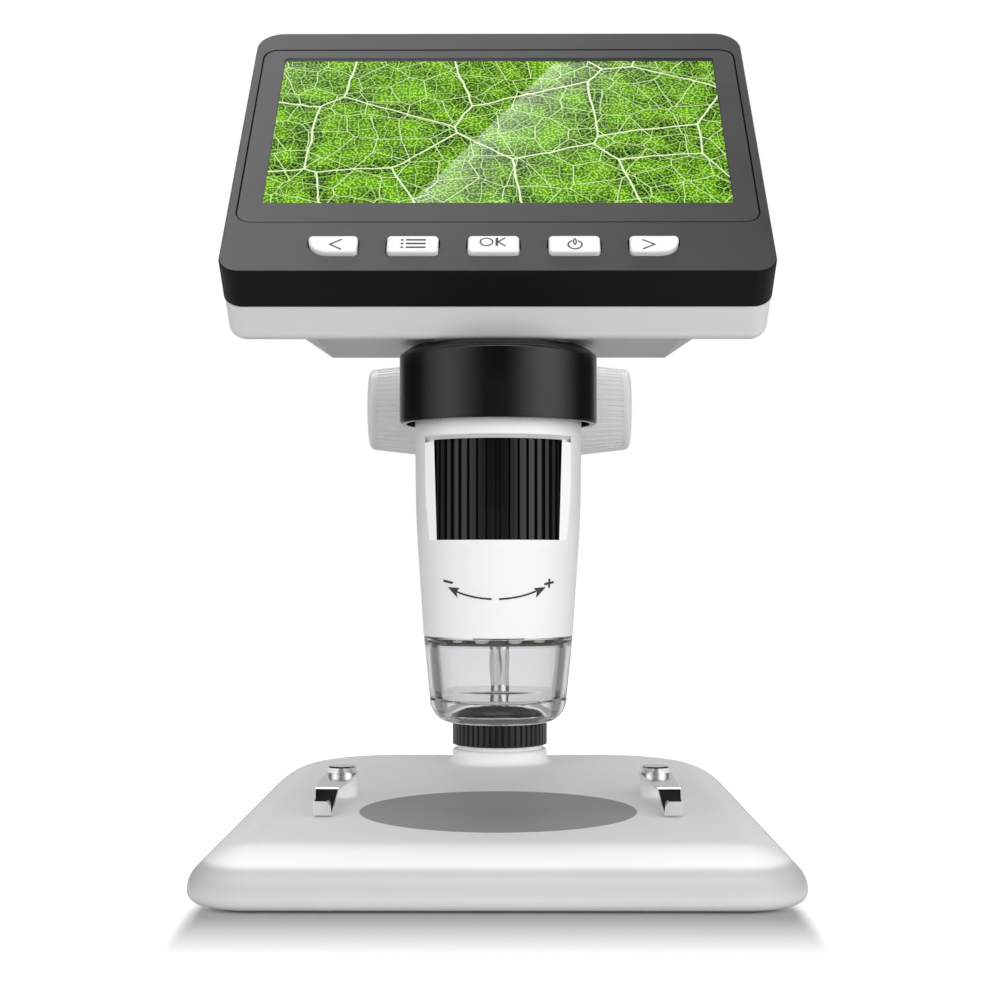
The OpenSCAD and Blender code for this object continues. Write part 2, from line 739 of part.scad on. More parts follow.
function involute(r) = r > tooth_base_r
    ? (tan(acos(tooth_base_r / r)) * 180 / PI - acos(tooth_base_r / r)) : 0;
module pinion_outline() {
    half = 90 / pinion_teeth + involute(pitch_r) - tooth_slack / pitch_r * 180 / PI;
    steps = 6;
    radii = [for (k = [0:steps]) tooth_root_r + (tooth_top_r - tooth_root_r) * k / steps];
    polygon([for (i = [0:pinion_teeth - 1]) for (k = [0:2 * steps + 1])
        let (up = k <= steps, r = up ? radii[k] : radii[2 * steps + 1 - k],
            a = i * 360 / pinion_teeth + (up ? -1 : 1) * (half - involute(r)))
        [r * cos(a), r * sin(a)]]);
}
module pinion_shaft() {
    color([0.72, 0.73, 0.75]) at_pinion() {
        rotate([0, 90, 0]) translate([0, 0, 1.4 - knob_out]) cylinder(r = shaft_r, h = 2 * knob_out - 2.8);
        rotate([90, 0, 90]) translate([0, 0, -3.6]) linear_extrude(7.2) pinion_outline();
    }
}
module knob_shape() {
    len = knob_out - knob_in;
    slope = atan((knob_r_in - knob_r_out) / (len - 1.6));
    difference() {
        rotate_extrude() {
            polygon([[0, 0], [knob_r_in, 0], [knob_r_out, len - 1.6], [knob_r_out - 1.6, len],
                [0, len]]);
            intersection() {
                translate([knob_r_out - 1.6, len - 1.6]) circle(1.6);
                translate([0, len - 1.6]) square([knob_r_out, 1.6]);
            }
        }
        for (i = [0:knob_grooves - 1]) rotate([0, 0, i * 360 / knob_grooves])
            translate([knob_r_in + 0.13, 0, -0.4]) rotate([0, -slope, 0])
            cylinder(r = 0.32, h = len - 1.7, $fn = 8);
        translate([0, 0, -1]) cylinder(r = shaft_r, h = len - 0.4);
        translate([0, 0, -1]) ring(knob_r_in - 1.8, 4.2, 0, 9);
        translate([0, 0, len - 0.5]) ring(knob_r_out - 2.6, knob_r_out - 3.2, 0, 2);
    }
}
module knob_left() {
    color([0.92, 0.92, 0.92]) at_pinion() translate([-knob_in, 0, 0]) rotate([0, -90, 0]) knob_shape();
}
module knob_right() {
    color([0.92, 0.92, 0.92]) at_pinion() translate([knob_in, 0, 0]) rotate([0, 90, 0]) knob_shape();
}

// ---------- microscope tube ----------
module seat_washer() {
    color([0.06, 0.06, 0.06]) at_tube() rotate_extrude() polygon([[neck_r + 0.1, ring_high],
        [seat_r, ring_high], [seat_r, ring_high + 0.25], [seat_r - 1.7, ring_high + seat_t],
        [neck_r + 0.1, ring_high + seat_t]]);
}
// what the slopes take away round the window in front: a flat one at each side, a cone above
module window_slopes() {
    lip_r = tube_bore_r + window_lip;
    side_x = window_half_low + window_slope_w;
    side_y = sqrt(tube_window_r * tube_window_r - side_x * side_x);
    for (s = [-1, 1]) translate([0, 0, window_low]) linear_extrude(window_high - window_low)
        polygon([[s * window_half_low, -sqrt(lip_r * lip_r - window_half_low * window_half_low)],
            [s * side_x, -side_y], [s * side_x, -25], [s * window_half_low, -25]]);
    intersection() {
        rotate_extrude() polygon([[lip_r, window_high - 1], [lip_r, window_high],
            [tube_window_r, window_high + window_slope_h],
            [tube_window_r + 1, window_high + window_slope_h], [tube_window_r + 1, window_high - 1]]);
        translate([-side_x, -25, window_high - 0.5]) cube([2 * side_x, 25, 3]);
    }
}
module tube_shell() {
    belly = 14.5;
    color([0.95, 0.95, 0.95]) at_tube() difference() {
        rotate_extrude() polygon(concat([[tube_mouth_r, tube_low]],
            [for (k = [0:8]) [tube_window_r - (tube_window_r - tube_waist_r) * pow(1 - k / 8, 2),
                window_low + belly * k / 8]],
            [[tube_window_r + 0.05, ring_low - 2],
                [tube_r, ring_low + 4.5], [tube_r, tube_high], [tube_bore_r, tube_high],
                [tube_bore_r, ledge_z], [sleeve_r + fixed_gap, ledge_z],
                [sleeve_r + fixed_gap, sleeve_low], [collar_r + fixed_gap, sleeve_low],
                [collar_r + fixed_gap, tube_low]]));
        rotate([90, 0, 0]) translate([0, 0, -25]) linear_extrude(50)
            polygon([[-window_half_low, window_low], [window_half_low, window_low],
                [window_half_top, window_high], [-window_half_top, window_high]]);
        window_slopes();
    }
}
module neck_cap() {
    color([0.2, 0.2, 0.21]) at_tube() rotate_extrude() polygon([[10.5, tube_high - 4],
        [plug_r, tube_high - 4], [plug_r, tube_high], [tube_r, tube_high], [tube_r, ring_high],
        [neck_r, ring_high], [neck_r, neck_top], [12.2, neck_top], [12.2, ring_high + 0.5],
        [10.5, ring_high + 0.5]]);
}
module wheel_retainer() {
    color([0.15, 0.15, 0.16]) at_tube() ring(plug_r, barrel_r + 1, wheel_high + 0.2, 2);
}
module guide_sleeve() {
    color([0.12, 0.12, 0.13]) at_tube() difference() {
        ring(sleeve_r, barrel_bore_r, sleeve_low, ledge_z - sleeve_low);
        translate([-1.35, -barrel_r - 1.8, sleeve_low - 1]) cube([2.7, 3, ledge_z - sleeve_low + 2]);
    }
}
module focus_wheel() {
    color([0.07, 0.07, 0.07]) at_tube() translate([0, 0, wheel_low]) difference() {
        linear_extrude(wheel_high - wheel_low) toothed(wheel_ribs, wheel_r, wheel_groove, 0.72);
        translate([0, 0, -1]) cylinder(r = barrel_bore_r, h = wheel_high - wheel_low + 2);
    }
}
module lens_barrel() {
    color([0.1, 0.1, 0.11]) at_tube() difference() {
        union() {
            translate([0, 0, barrel_low]) cylinder(r = barrel_r, h = barrel_high - barrel_low);
            translate([0, 0, barrel_low - 2.4]) cylinder(r = 7.4, h = 3);
            translate([-1.2, -barrel_r - 1.4, barrel_low + 1]) cube([2.4, 4, 7.5]);
        }
        translate([0, 0, barrel_low - 3]) cylinder(r = lens_r + fixed_gap, h = 5.4);
        translate([0, 0, barrel_low - 3]) cylinder(r = lens_r - 1.4, h = 60);
        translate([0, 0, barrel_low + 6]) cylinder(r = barrel_r - 1.6, h = 60);
    }
}
module front_lens() {
    color([0.7, 0.85, 0.9, 0.5]) at_tube() translate([0, 0, barrel_low + 1.2]) rotate_extrude() {
        square([lens_r, 1.2]);
        intersection() {
            translate([0, -0.4]) square([lens_r - 1.5, 2]);
            translate([0, 8.6]) circle(9);
            translate([0, -7.4]) circle(9);
        }
    }
}
module sensor_board() {
    color([0.05, 0.3, 0.16]) at_tube() {
        translate([0, 0, ring_high + 0.5]) cylinder(r = 12.1, h = 1.6);
        translate([-3.5, -3.5, ring_high - 0.7]) cube([7, 7, 1.3]);
    }
}
module sensor_ribbon() {
    low = ring_high + 2.1;
    slope = tan(90 - face_tilt);
    reach_y = head_dy - board_back * cos(face_tilt);
    reach_z = head_dz + board_back * sin(face_tilt);
    top = reach_z + (ribbon_y - reach_y) * slope;
    color([0.75, 0.5, 0.2]) at_tube() rotate([90, 0, 90]) translate([0, 0, -5]) linear_extrude(10)
        polygon([[ribbon_y - 0.3, low], [ribbon_y, low], [ribbon_y, top], [ribbon_y - 0.3, top - 0.3 * slope]]);
}
module lamp_board() {
    color([0.9, 0.9, 0.88]) at_tube() ring(collar_r - 0.1, 8, board_low, 1.2);
}
module lamps() {
    color([1, 0.97, 0.8]) at_tube() for (i = [0:lamp_count - 1])
        rotate([0, 0, (i + 0.5) * 360 / lamp_count]) translate([9.75, 0, board_low]) {
            translate([0, 0, -0.6]) cylinder(r = 1.45, h = 0.6);
            intersection() {
                translate([0, 0, -0.6]) sphere(r = 1.45, $fn = 36);
                translate([0, 0, -2.2]) cylinder(r = 2, h = 1.6);
            }
        }
}
module light_shade() {
    top = tube_low - 0.2;
    bend = shade_low + shade_curve;
    top_r = tube_mouth_r - 0.1;
    color([0.85, 0.9, 0.95, 0.35]) at_tube() rotate_extrude() polygon(concat(
        [[top_r, top], [shade_r + 0.03, bend + 0.3], [shade_r - 0.25, bend + 0.15]],
        [for (k = [0:9]) [shade_foot_r + (shade_r - shade_foot_r) * cos(k * 10),
            bend - shade_curve * sin(k * 10)]],
        [[shade_foot_r - 0.9, shade_low], [shade_foot_r - 0.9, shade_low + 1.4],
            [shade_r - shade_wall - 0.5, shade_low + 1.9], [shade_r - shade_wall, bend],
            [top_r - shade_wall, top - 0.6], [collar_r - 1.6, top + 0.2],
            [collar_r - 1.6, board_low - 0.05], [collar_r, board_low - 0.05], [collar_r, top]]));
}

// ---------- display head ----------
function button_side(i) = i == -2 ? -1 : i == 2 ? 1 : 0;
function button_width(side) = side == 0 ? button_w : button_end_w;
function button_radii(r, side) = let (b = button_big_r + r - button_r)
    side < 0 ? [b, r, r, r] : side > 0 ? [r, b, r, r] : [r, r, r, r];
// outline of a button, larger all round by the growth
module button_outline(side, grow) {
    w = button_width(side) + 2 * grow;
    h = button_h + 2 * grow;
    intersection() {
        outline(w, h, button_radii(button_r + grow, side));
        square([w, h], center = true);
    }
}
// the outermost buttons keep their inner edges on the row's spacing
module button_spot(i) {
    inward = button_side(i) * (button_w - button_end_w) / 2;
    translate([i * button_pitch - button_shift - inward, -button_drop, 0]) children();
}
module case_spots(n) {
    for (s = [-1, 1]) {
        translate([s * boss_x, -boss_v, n]) children();
        translate([s * top_boss_x, top_boss_v, n]) children();
    }
}
// corner radii of the face's outline, moved in by a wall
function face_radii(wall) = [face_low_r - wall, face_low_r - wall, face_r - wall, face_r - wall];
module front_bezel() {
    color([0.16, 0.16, 0.17]) on_head() {
        difference() {
            translate([0, 0, -bezel_t]) edged_slab(face_w, face_h, bezel_t, face_radii(0), 3.5)
                round_edge(bezel_t, 3.5, face_edge_r, 0.3);
            translate([0, 0, -bezel_t - 1]) linear_extrude(bezel_t - face_plate + 1)
                outline(face_w - 2 * bezel_wall, face_h - 2 * bezel_wall, face_radii(bezel_wall));
            translate([0, window_v, -pocket]) linear_extrude(pocket + 1)
                outline(window_w + 2 * window_groove, window_h + 2 * window_groove,
                    [for (k = [0:3]) 3 + window_groove]);
            translate([0, display_v, -3]) linear_extrude(4)
                square([display_w + display_open, display_h + display_open], center = true);
            for (i = [-2:2]) button_spot(i) translate([0, 0, -3]) linear_extrude(4)
                button_outline(button_side(i), button_gap);
        }
        for (s = [-1, 1]) {
            translate([s * boss_x, -boss_v, 0]) bezel_post(3.2, bezel_t - face_plate + 0.2);
            translate([s * top_boss_x, top_boss_v, 0]) bezel_post(2.5, 4.1);
        }
    }
}
module bezel_post(r, h) {
    translate([0, 0, -bezel_t]) difference() {
        cylinder(r = r, h = h);
        translate([0, 0, -1]) cylinder(r = 1.25, h = 4.4);
    }
}
module screen_window() {
    color([0.7, 0.8, 0.8, 0.3]) on_head() translate([0, window_v, -pocket + mask_t])
        linear_extrude(window_t) outline(window_w, window_h, [3, 3, 3, 3]);
}
module window_mask() {
    color([0.1, 0.1, 0.1]) on_head() translate([0, 0, -pocket]) linear_extrude(mask_t) difference() {
        translate([0, window_v]) outline(window_w, window_h, [3, 3, 3, 3]);
        translate([0, display_v]) square([display_w, display_h], center = true);
    }
}
module display_cell() {
    color([0.3, 0.6, 0.15]) on_head() translate([0, display_v, -(pocket + face_plate) / 2])
        cube([display_w + 1, display_h + 1, face_plate - pocket], center = true);
}
module display_frame() {
    color([0.6, 0.61, 0.63]) on_head()
        translate([-frame_w / 2, display_v - frame_h / 2, -face_plate - 2.6]) cube([frame_w, frame_h, 2.6]);
}
module main_board() {
    color([0.04, 0.28, 0.14]) on_head() {
        translate([0, 0, board_back]) linear_extrude(board_t) {
            translate([-board_half, 11.65 - boss_v]) square([2 * board_half, boss_v + top_boss_v - 16.7]);
            translate([4.6 - boss_x, -button_drop - 3.6])
                square([2 * boss_x - 9.2, button_drop + 16.25 - boss_v]);
        }
        translate([-12, 14, board_back - 1.4]) cube([14, 14, 1.6]);
        translate([12, 16, board_back - 1]) cube([9, 12, 1.2]);
        translate([-32, 16, board_back - 1.2]) cube([8, 6, 1.4]);
    }
}
module tact_switches() {
    color([0.75, 0.75, 0.77]) on_head() for (i = [-2:2]) button_spot(i) {
        translate([-3, -3, board_front]) cube([6, 6, 4.9]);
        translate([0, 0, board_front]) cylinder(r = 1.7, h = 5.3, $fn = 36);
    }
}
module one_button(i) {
    side = button_side(i);
    h = face_plate + 0.4 + button_up;
    e = button_r - 0.1;
    color([0.93, 0.93, 0.93]) on_head() button_spot(i) {
        translate([0, 0, -face_plate - 0.4]) edged_slab(button_width(side), button_h, h,
            button_radii(button_r, side), e) round_edge(h, e, 0.6, 0.1);
        translate([0, 0, -face_plate - 0.85]) linear_extrude(0.75) button_outline(side, 0.8);
    }
}
module button_left() { one_button(-2); }
module button_menu() { one_button(-1); }
module button_ok() { one_button(0); }
module button_power() { one_button(1); }
module button_right() { one_button(2); }
module usb_socket() {
    color([0.75, 0.76, 0.78]) on_head() translate([-rear_w / 2 + 0.1, usb_v, board_back - 1.6])
        rotate([90, 0, 90]) {
            linear_extrude(7.4) difference() {
                outline(9, 3.2, [1.5, 1.5, 1.5, 1.5]);
                outline(8.4, 2.6, [1.2, 1.2, 1.2, 1.2]);
            }
            translate([0, 0, 6.4]) linear_extrude(1) outline(8.6, 2.8, [1.3, 1.3, 1.3, 1.3]);
            translate([-3.3, -0.35, 1]) cube([6.6, 0.7, 6]);
        }
}
module card_slot() {
    color([0.7, 0.71, 0.73]) on_head() translate([-rear_w / 2 + rear_wall + 0.2, card_v, board_back - 2])
        difference() {
            translate([0, -7, 0]) cube([14, 14, 2]);
            translate([-1, -5.6, 0.5]) cube([13, 11.2, 1]);
        }
}
module dimmer_pot() {
    color([0.3, 0.3, 0.32]) on_head() translate([dimmer_x, dimmer_v, 0]) {
        translate([-4, -4, board_back - 1.5]) cube([7.5, 8, 1.5]);
        translate([0, 0, dimmer_n - dimmer_t - 0.2]) cylinder(r = 1.5, h = 4);
    }
}
module dimmer_wheel() {
    color([0.12, 0.12, 0.13]) on_head() translate([dimmer_x, dimmer_v, dimmer_n - dimmer_t])
        difference() {
            linear_extrude(dimmer_t) toothed(30, dimmer_r, 0.5, 0.85);
            translate([0, 0, -1]) cylinder(r = 1.5 + slide_gap, h = dimmer_t + 2);
        }
}
// the housing in section: y is back from the lens axis, z is up from the base's top
function back_point(v, n) = [head_dy + v * sin(face_tilt) - n * cos(face_tilt),
    head_dz + v * cos(face_tilt) + n * sin(face_tilt)];
function pod_section(wall, inside) =
    let (a = back_point(-rear_h / 2, -head_t), slope = tan(face_tilt), low = pod_low + wall,
        y = a[0] + (low - a[1]) * slope + wall * 1.35, shift = [-inside * cos(face_tilt), inside * sin(face_tilt)],
        top = back_point(9.5 - wall * 1.3, -head_t))
    [[y, low], [pod_back - wall, low], [pod_back - wall, battery_z + 12.2 - wall * 0.4],
        top, top + shift, [y, low] + shift];
module pod(wall, inside) {
    h = pod_half - wall;
    f = pod_half_low - wall * 0.5;
    z = pod_low + wall;
    intersection() {
        rotate([90, 0, 90]) translate([0, 0, -h]) linear_extrude(2 * h) polygon(pod_section(wall, inside));
        rotate([90, 0, 0]) translate([0, 0, -60]) linear_extrude(120) polygon([[-f, z], [f, z],
            [h, z + pod_slope], [h, z + 60], [-h, z + 60], [-h, z + pod_slope]]);
    }
}
module rear_case() {
    h = head_t - bezel_t;
    inner = rear_inset + rear_wall;
    color([0.86, 0.86, 0.87]) difference() {
        union() {
            difference() {
                union() {
                    on_head() translate([0, 0, -head_t])
                        edged_slab(rear_w, rear_h, h, face_radii(rear_inset), 3.5)
                        round_edge(h, 3.5, 0.3, 2.2);
                    at_tube() pod(0, 1);
                    at_tube() translate([0, 0, seat_top]) intersection() {
                        cylinder(r = neck_r + 1.4, h = pod_low - seat_top + 1);
                        translate([-25, -neck_r - 0.2, 0]) cube([50, 60, 5]);
                    }
                }
                on_head() translate([0, 0, rear_wall - head_t]) linear_extrude(h)
                    outline(rear_w - 2 * rear_wall, rear_h - 2 * rear_wall, face_radii(inner));
                at_tube() pod(2, 3.4);
            }
            on_head() case_spots(rear_wall - head_t - 0.5) cylinder(r = 3, h = h - rear_wall + 0.5);
            for (s = [-1, 1]) at_tube() translate([s * cover_screw_x, pod_back - 6, cover_z])
                rotate([-90, 0, 0]) cylinder(r = 2.6, h = 4.5);
        }
        at_tube() translate([0, 0, seat_top - 1]) cylinder(r = neck_r + fixed_gap, h = 7);
        on_head() case_spots(-head_t - 1) cylinder(r = 1.5, h = 20);
        on_head() case_spots(-head_t - 1) cylinder(r = 2.7, h = 3.2);
        on_head() translate([-rear_w / 2 - 1, usb_v, board_back - 1.6]) rotate([90, 0, 90])
            linear_extrude(rear_wall + 2) outline(9.6, 3.8, [1.8, 1.8, 1.8, 1.8]);
        on_head() translate([-rear_w / 2 - 1, card_v - 6.2, board_back - 2]) cube([rear_wall + 2, 12.4, 2]);
        on_head() translate([rear_w / 2 - 3, dimmer_v - 6.8, dimmer_n - dimmer_t - 0.4])
            cube([5, 13.6, dimmer_t + 0.8]);
        at_tube() translate([-cover_w / 2, pod_back - 1, cover_z - cover_h / 2]) cube([cover_w, 3, cover_h]);
        at_tube() translate([-cover_w / 2 + 6, pod_back - 3, cover_z - cover_h / 2 + 1.6])
            cube([cover_w - 12, 5, cover_h - 3.2]);
        for (s = [-1, 1]) at_tube() translate([s * cover_screw_x, pod_back - 7, cover_z])
            rotate([-90, 0, 0]) cylinder(r = 1, h = 9);
    }
}
module case_screws() {
    color([0.7, 0.7, 0.72]) on_head() case_spots(-head_t + 0.3) difference() {
        union() {
            cylinder(r = 2.35, h = 1.9);
            cylinder(r = 1.25, h = head_t - 6);
        }
        for (a = [0, 90]) rotate([0, 0, a]) translate([-1.5, -0.3, -1]) cube([3, 0.6, 2]);
    }
}
module battery() {
    color([0.25, 0.45, 0.75]) at_tube() translate([-battery_len / 2, battery_y, battery_z])
        rotate([0, 90, 0]) {
            cylinder(r = battery_r, h = battery_len - 1);
            cylinder(r = 3, h = battery_len);
        }
}
module battery_cradles() {
    low = pod_low + 2;
    end = battery_len / 2 + 0.05;
    color([0.1, 0.1, 0.1]) at_tube() for (s = [-1, 1]) difference() {
        translate([s > 0 ? end - 14 : -end - 1.4, battery_y - 8.2, low])
            cube([15.4, 8.2 + pod_back - 2 - battery_y, battery_z - low - 2]);
        translate([-end, battery_y, battery_z]) rotate([0, 90, 0])
            cylinder(r = battery_r + 0.05, h = 2 * end);
    }
}
module battery_cover() {
    color([0.84, 0.84, 0.85]) at_tube() translate([0, pod_back, cover_z]) difference() {
        union() {
            translate([-cover_w / 2 + 0.2, -1, -cover_h / 2 + 0.2]) cube([cover_w - 0.4, 1, cover_h - 0.4]);
            translate([-cover_w / 2 + 6.2, -1.6, -cover_h / 2 + 1.8]) cube([cover_w - 12.4, 1, cover_h - 3.6]);
        }
        for (s = [-1, 1]) translate([s * cover_screw_x, -3, 0]) rotate([-90, 0, 0]) cylinder(r = 1.1, h = 5);
        for (s = [-1, 1], k = [-2:2]) translate([s * 24, -0.3, k * 2 - 0.35]) cube([10, 1, 0.7]);
    }
}
module cover_screws() {
    color([0.7, 0.7, 0.72]) for (s = [-1, 1]) at_tube() translate([s * cover_screw_x, pod_back, cover_z])
        rotate([-90, 0, 0]) difference() {
            union() {
                translate([0, 0, -5.6]) cylinder(r = 1, h = 6);
                cylinder(r = 1.9, h = 0.9);
            }
            translate([-1.3, -0.25, 0.4]) cube([2.6, 0.5, 1]);
        }
}

base_shell();
base_plate();
base_screws();
column_screw();
rubber_feet();
stage_disc();
clip_studs();
clip_left();
clip_right();
column();
column_cap();
stop_ring();
lock_nut();
compression_ring();
carriage();
bushings();
friction_pad();
tension_screw();
holder_ring();
arm_screws();
pinion_shaft();
knob_left();
knob_right();
seat_washer();
tube_shell();
neck_cap();
wheel_retainer();
guide_sleeve();
focus_wheel();
lens_barrel();
front_lens();
sensor_board();
sensor_ribbon();
lamp_board();
lamps();
light_shade();
front_bezel();
screen_window();
window_mask();
display_cell();
display_frame();
main_board();
tact_switches();
usb_socket();
card_slot();
dimmer_pot();
dimmer_wheel();
battery();
battery_cradles();
battery_cover();
cover_screws();
rear_case();
case_screws();
button_left();
button_menu();
button_ok();
button_power();
button_right();
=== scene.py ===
"""Looks of the screen microscope on its stand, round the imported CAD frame. Metres, row frame."""
import json
import math

import bmesh
import bpy
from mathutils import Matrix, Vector


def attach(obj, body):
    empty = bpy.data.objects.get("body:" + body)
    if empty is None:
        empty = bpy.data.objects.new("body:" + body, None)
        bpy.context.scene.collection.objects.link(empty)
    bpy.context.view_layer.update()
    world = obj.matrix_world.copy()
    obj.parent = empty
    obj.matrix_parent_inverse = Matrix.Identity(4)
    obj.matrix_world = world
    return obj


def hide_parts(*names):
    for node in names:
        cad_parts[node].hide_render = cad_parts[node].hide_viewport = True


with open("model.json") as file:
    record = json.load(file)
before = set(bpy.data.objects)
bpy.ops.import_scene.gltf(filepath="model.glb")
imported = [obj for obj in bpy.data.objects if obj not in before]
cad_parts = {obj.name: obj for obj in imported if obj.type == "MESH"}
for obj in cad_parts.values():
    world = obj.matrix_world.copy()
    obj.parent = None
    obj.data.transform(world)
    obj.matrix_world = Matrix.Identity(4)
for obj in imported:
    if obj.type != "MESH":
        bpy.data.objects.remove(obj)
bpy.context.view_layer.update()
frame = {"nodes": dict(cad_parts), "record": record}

MM = 0.001

# ---------- places taken from the part's own sizes (millimetres) ----------
TUBE_Y = -29.5                              # lens axis
BASE_TOP = 10.9                             # height of the base's flat top
TILT = math.radians(90 - 41.6)              # slope of the head's face
HEAD = Vector((0, -29.546, 149.302))        # middle of the head's face
ACROSS = Vector((1, 0, 0))
UP_FACE = Vector((0, math.cos(TILT), math.sin(TILT)))
OUT_FACE = Vector((0, -math.sin(TILT), math.cos(TILT)))
DISPLAY_V = 6.3                             # middle of the lit area, up the face
DISPLAY_W, DISPLAY_H = 95.04, 53.86
DISPLAY_MIDDLE = HEAD.dot(UP_FACE) + DISPLAY_V
CAMERA_AT = Vector((1.72, -381.73, 63.46))


def head(x, v, n):
    """A point of the tilted head, in metres: x across, v up the face, n out of it, in millimetres."""
    return (HEAD + ACROSS * x + UP_FACE * v + OUT_FACE * n) * MM


def tube(angle, radius, z):
    """A point round the lens axis: angle in degrees from the front, z above the base's top."""
    a = math.radians(angle)
    return Vector((radius * math.sin(a), TUBE_Y - radius * math.cos(a), BASE_TOP + z)) * MM


# ---------- small mesh helpers ----------
def mesh_piece(name, verts, faces, body, material, smooth=False):
    """A new piece of the visual model that rides on a body."""
    me = bpy.data.meshes.new(name)
    me.from_pydata([tuple(v) for v in verts], [], faces)
    bm = bmesh.new()
    bm.from_mesh(me)
    bmesh.ops.recalc_face_normals(bm, faces=bm.faces)
    bm.to_mesh(me)
    bm.free()
    if smooth:
        for p in me.polygons:
            p.use_smooth = True
    ob = bpy.data.objects.new(name, me)
    bpy.context.scene.collection.objects.link(ob)
    me.materials.append(material)
    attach(ob, body)
    return ob


def lathe(profile, steps, centre, z0):
    """Closed profile of (radius, height) turned round the vertical line through centre."""
    verts, faces, n = [], [], len(profile)
    for i in range(steps):
        a = 2 * math.pi * i / steps
        for r, z in profile:
            place = (centre[0] + r * math.cos(a), centre[1] + r * math.sin(a), z0 + z)
            verts.append(Vector(place) * MM)
    for i in range(steps):
        j = (i + 1) % steps
        for k in range(n):
            m = (k + 1) % n
            faces.append((i * n + k, j * n + k, j * n + m, i * n + m))
    return verts, faces


def arc(cx, cy, r, a0, a1, steps):
    """Points of a circular arc from angle a0 to a1, in degrees."""
    angles = [math.radians(a0 + (a1 - a0) * k / steps) for k in range(steps + 1)]
    return [(cx + r * math.cos(a), cy + r * math.sin(a)) for a in angles]


def outline_of(points, width, closed=False):
    """Left and right sides of a flat stroke along points."""
    pts = [Vector(p) for p in points]
    left, right, n = [], [], len(pts)
    for i, p in enumerate(pts):
        a = pts[(i - 1) % n] if closed or i else p
        b = pts[(i + 1) % n] if closed or i < n - 1 else p
        d1 = (p - a).normalized() if (p - a).length > 1e-9 else (b - p).normalized()
        d2 = (b - p).normalized() if (b - p).length > 1e-9 else d1
        n1, n2 = Vector((-d1.y, d1.x)), Vector((-d2.y, d2.x))
        m = (n1 + n2).normalized()
        m *= width / 2 / max(0.4, m.dot(n1))
        left.append(p + m)
        right.append(p - m)
    return left, right


def strokes_mesh(strokes, low, high, place):
    """Solid lines and filled shapes: place(x, y, h) gives the point in the row frame."""
    verts, faces = [], []
    for kind, pts, width, closed in strokes:
        b = len(verts)
        if kind == "line":
            left, right = outline_of(pts, width, closed)
            n = len(left)
            for pair in zip(left, right):
                verts += [place(p.x, p.y, h) for h in (high, low) for p in pair]
            for i in range(n if closed else n - 1):
                p, q = b + 4 * i, b + 4 * ((i + 1) % n)
                faces += [(p, q, q + 1, p + 1), (p + 2, p + 3, q + 3, q + 2),
                          (p, p + 2, q + 2, q), (p + 1, q + 1, q + 3, p + 3)]
            if not closed:
                e = b + 4 * (n - 1)
                faces += [(b, b + 1, b + 3, b + 2), (e, e + 2, e + 3, e + 1)]
        else:
            n = len(pts)
            mid = (sum(x for x, y in pts) / n, sum(y for x, y in pts) / n)
            verts += [place(x, y, high) for x, y in pts] + [place(x, y, low) for x, y in pts]
            verts += [place(mid[0], mid[1], high), place(mid[0], mid[1], low)]
            for i in range(n):
                j = (i + 1) % n
                faces += [(b + i, b + j, b + 2 * n), (b + n + j, b + n + i, b + 2 * n + 1),
                          (b + i, b + n + i, b + n + j, b + j)]
    return verts, faces


# ---------- materials ----------
def srgb(*values):
    """Display values 0-255 as the linear colour that shows them."""
    out = []
    for v in values:
        c = v / 255
        out.append(c / 12.92 if c <= 0.04045 else ((c + 0.055) / 1.055) ** 2.4)
    if len(out) == 1:
        out *= 3
    return tuple(out) + (1,)


def tint(colour, by):
    """The colour made lighter or darker."""
    return tuple(min(1, max(0, c * by)) for c in colour[:3]) + (1,)


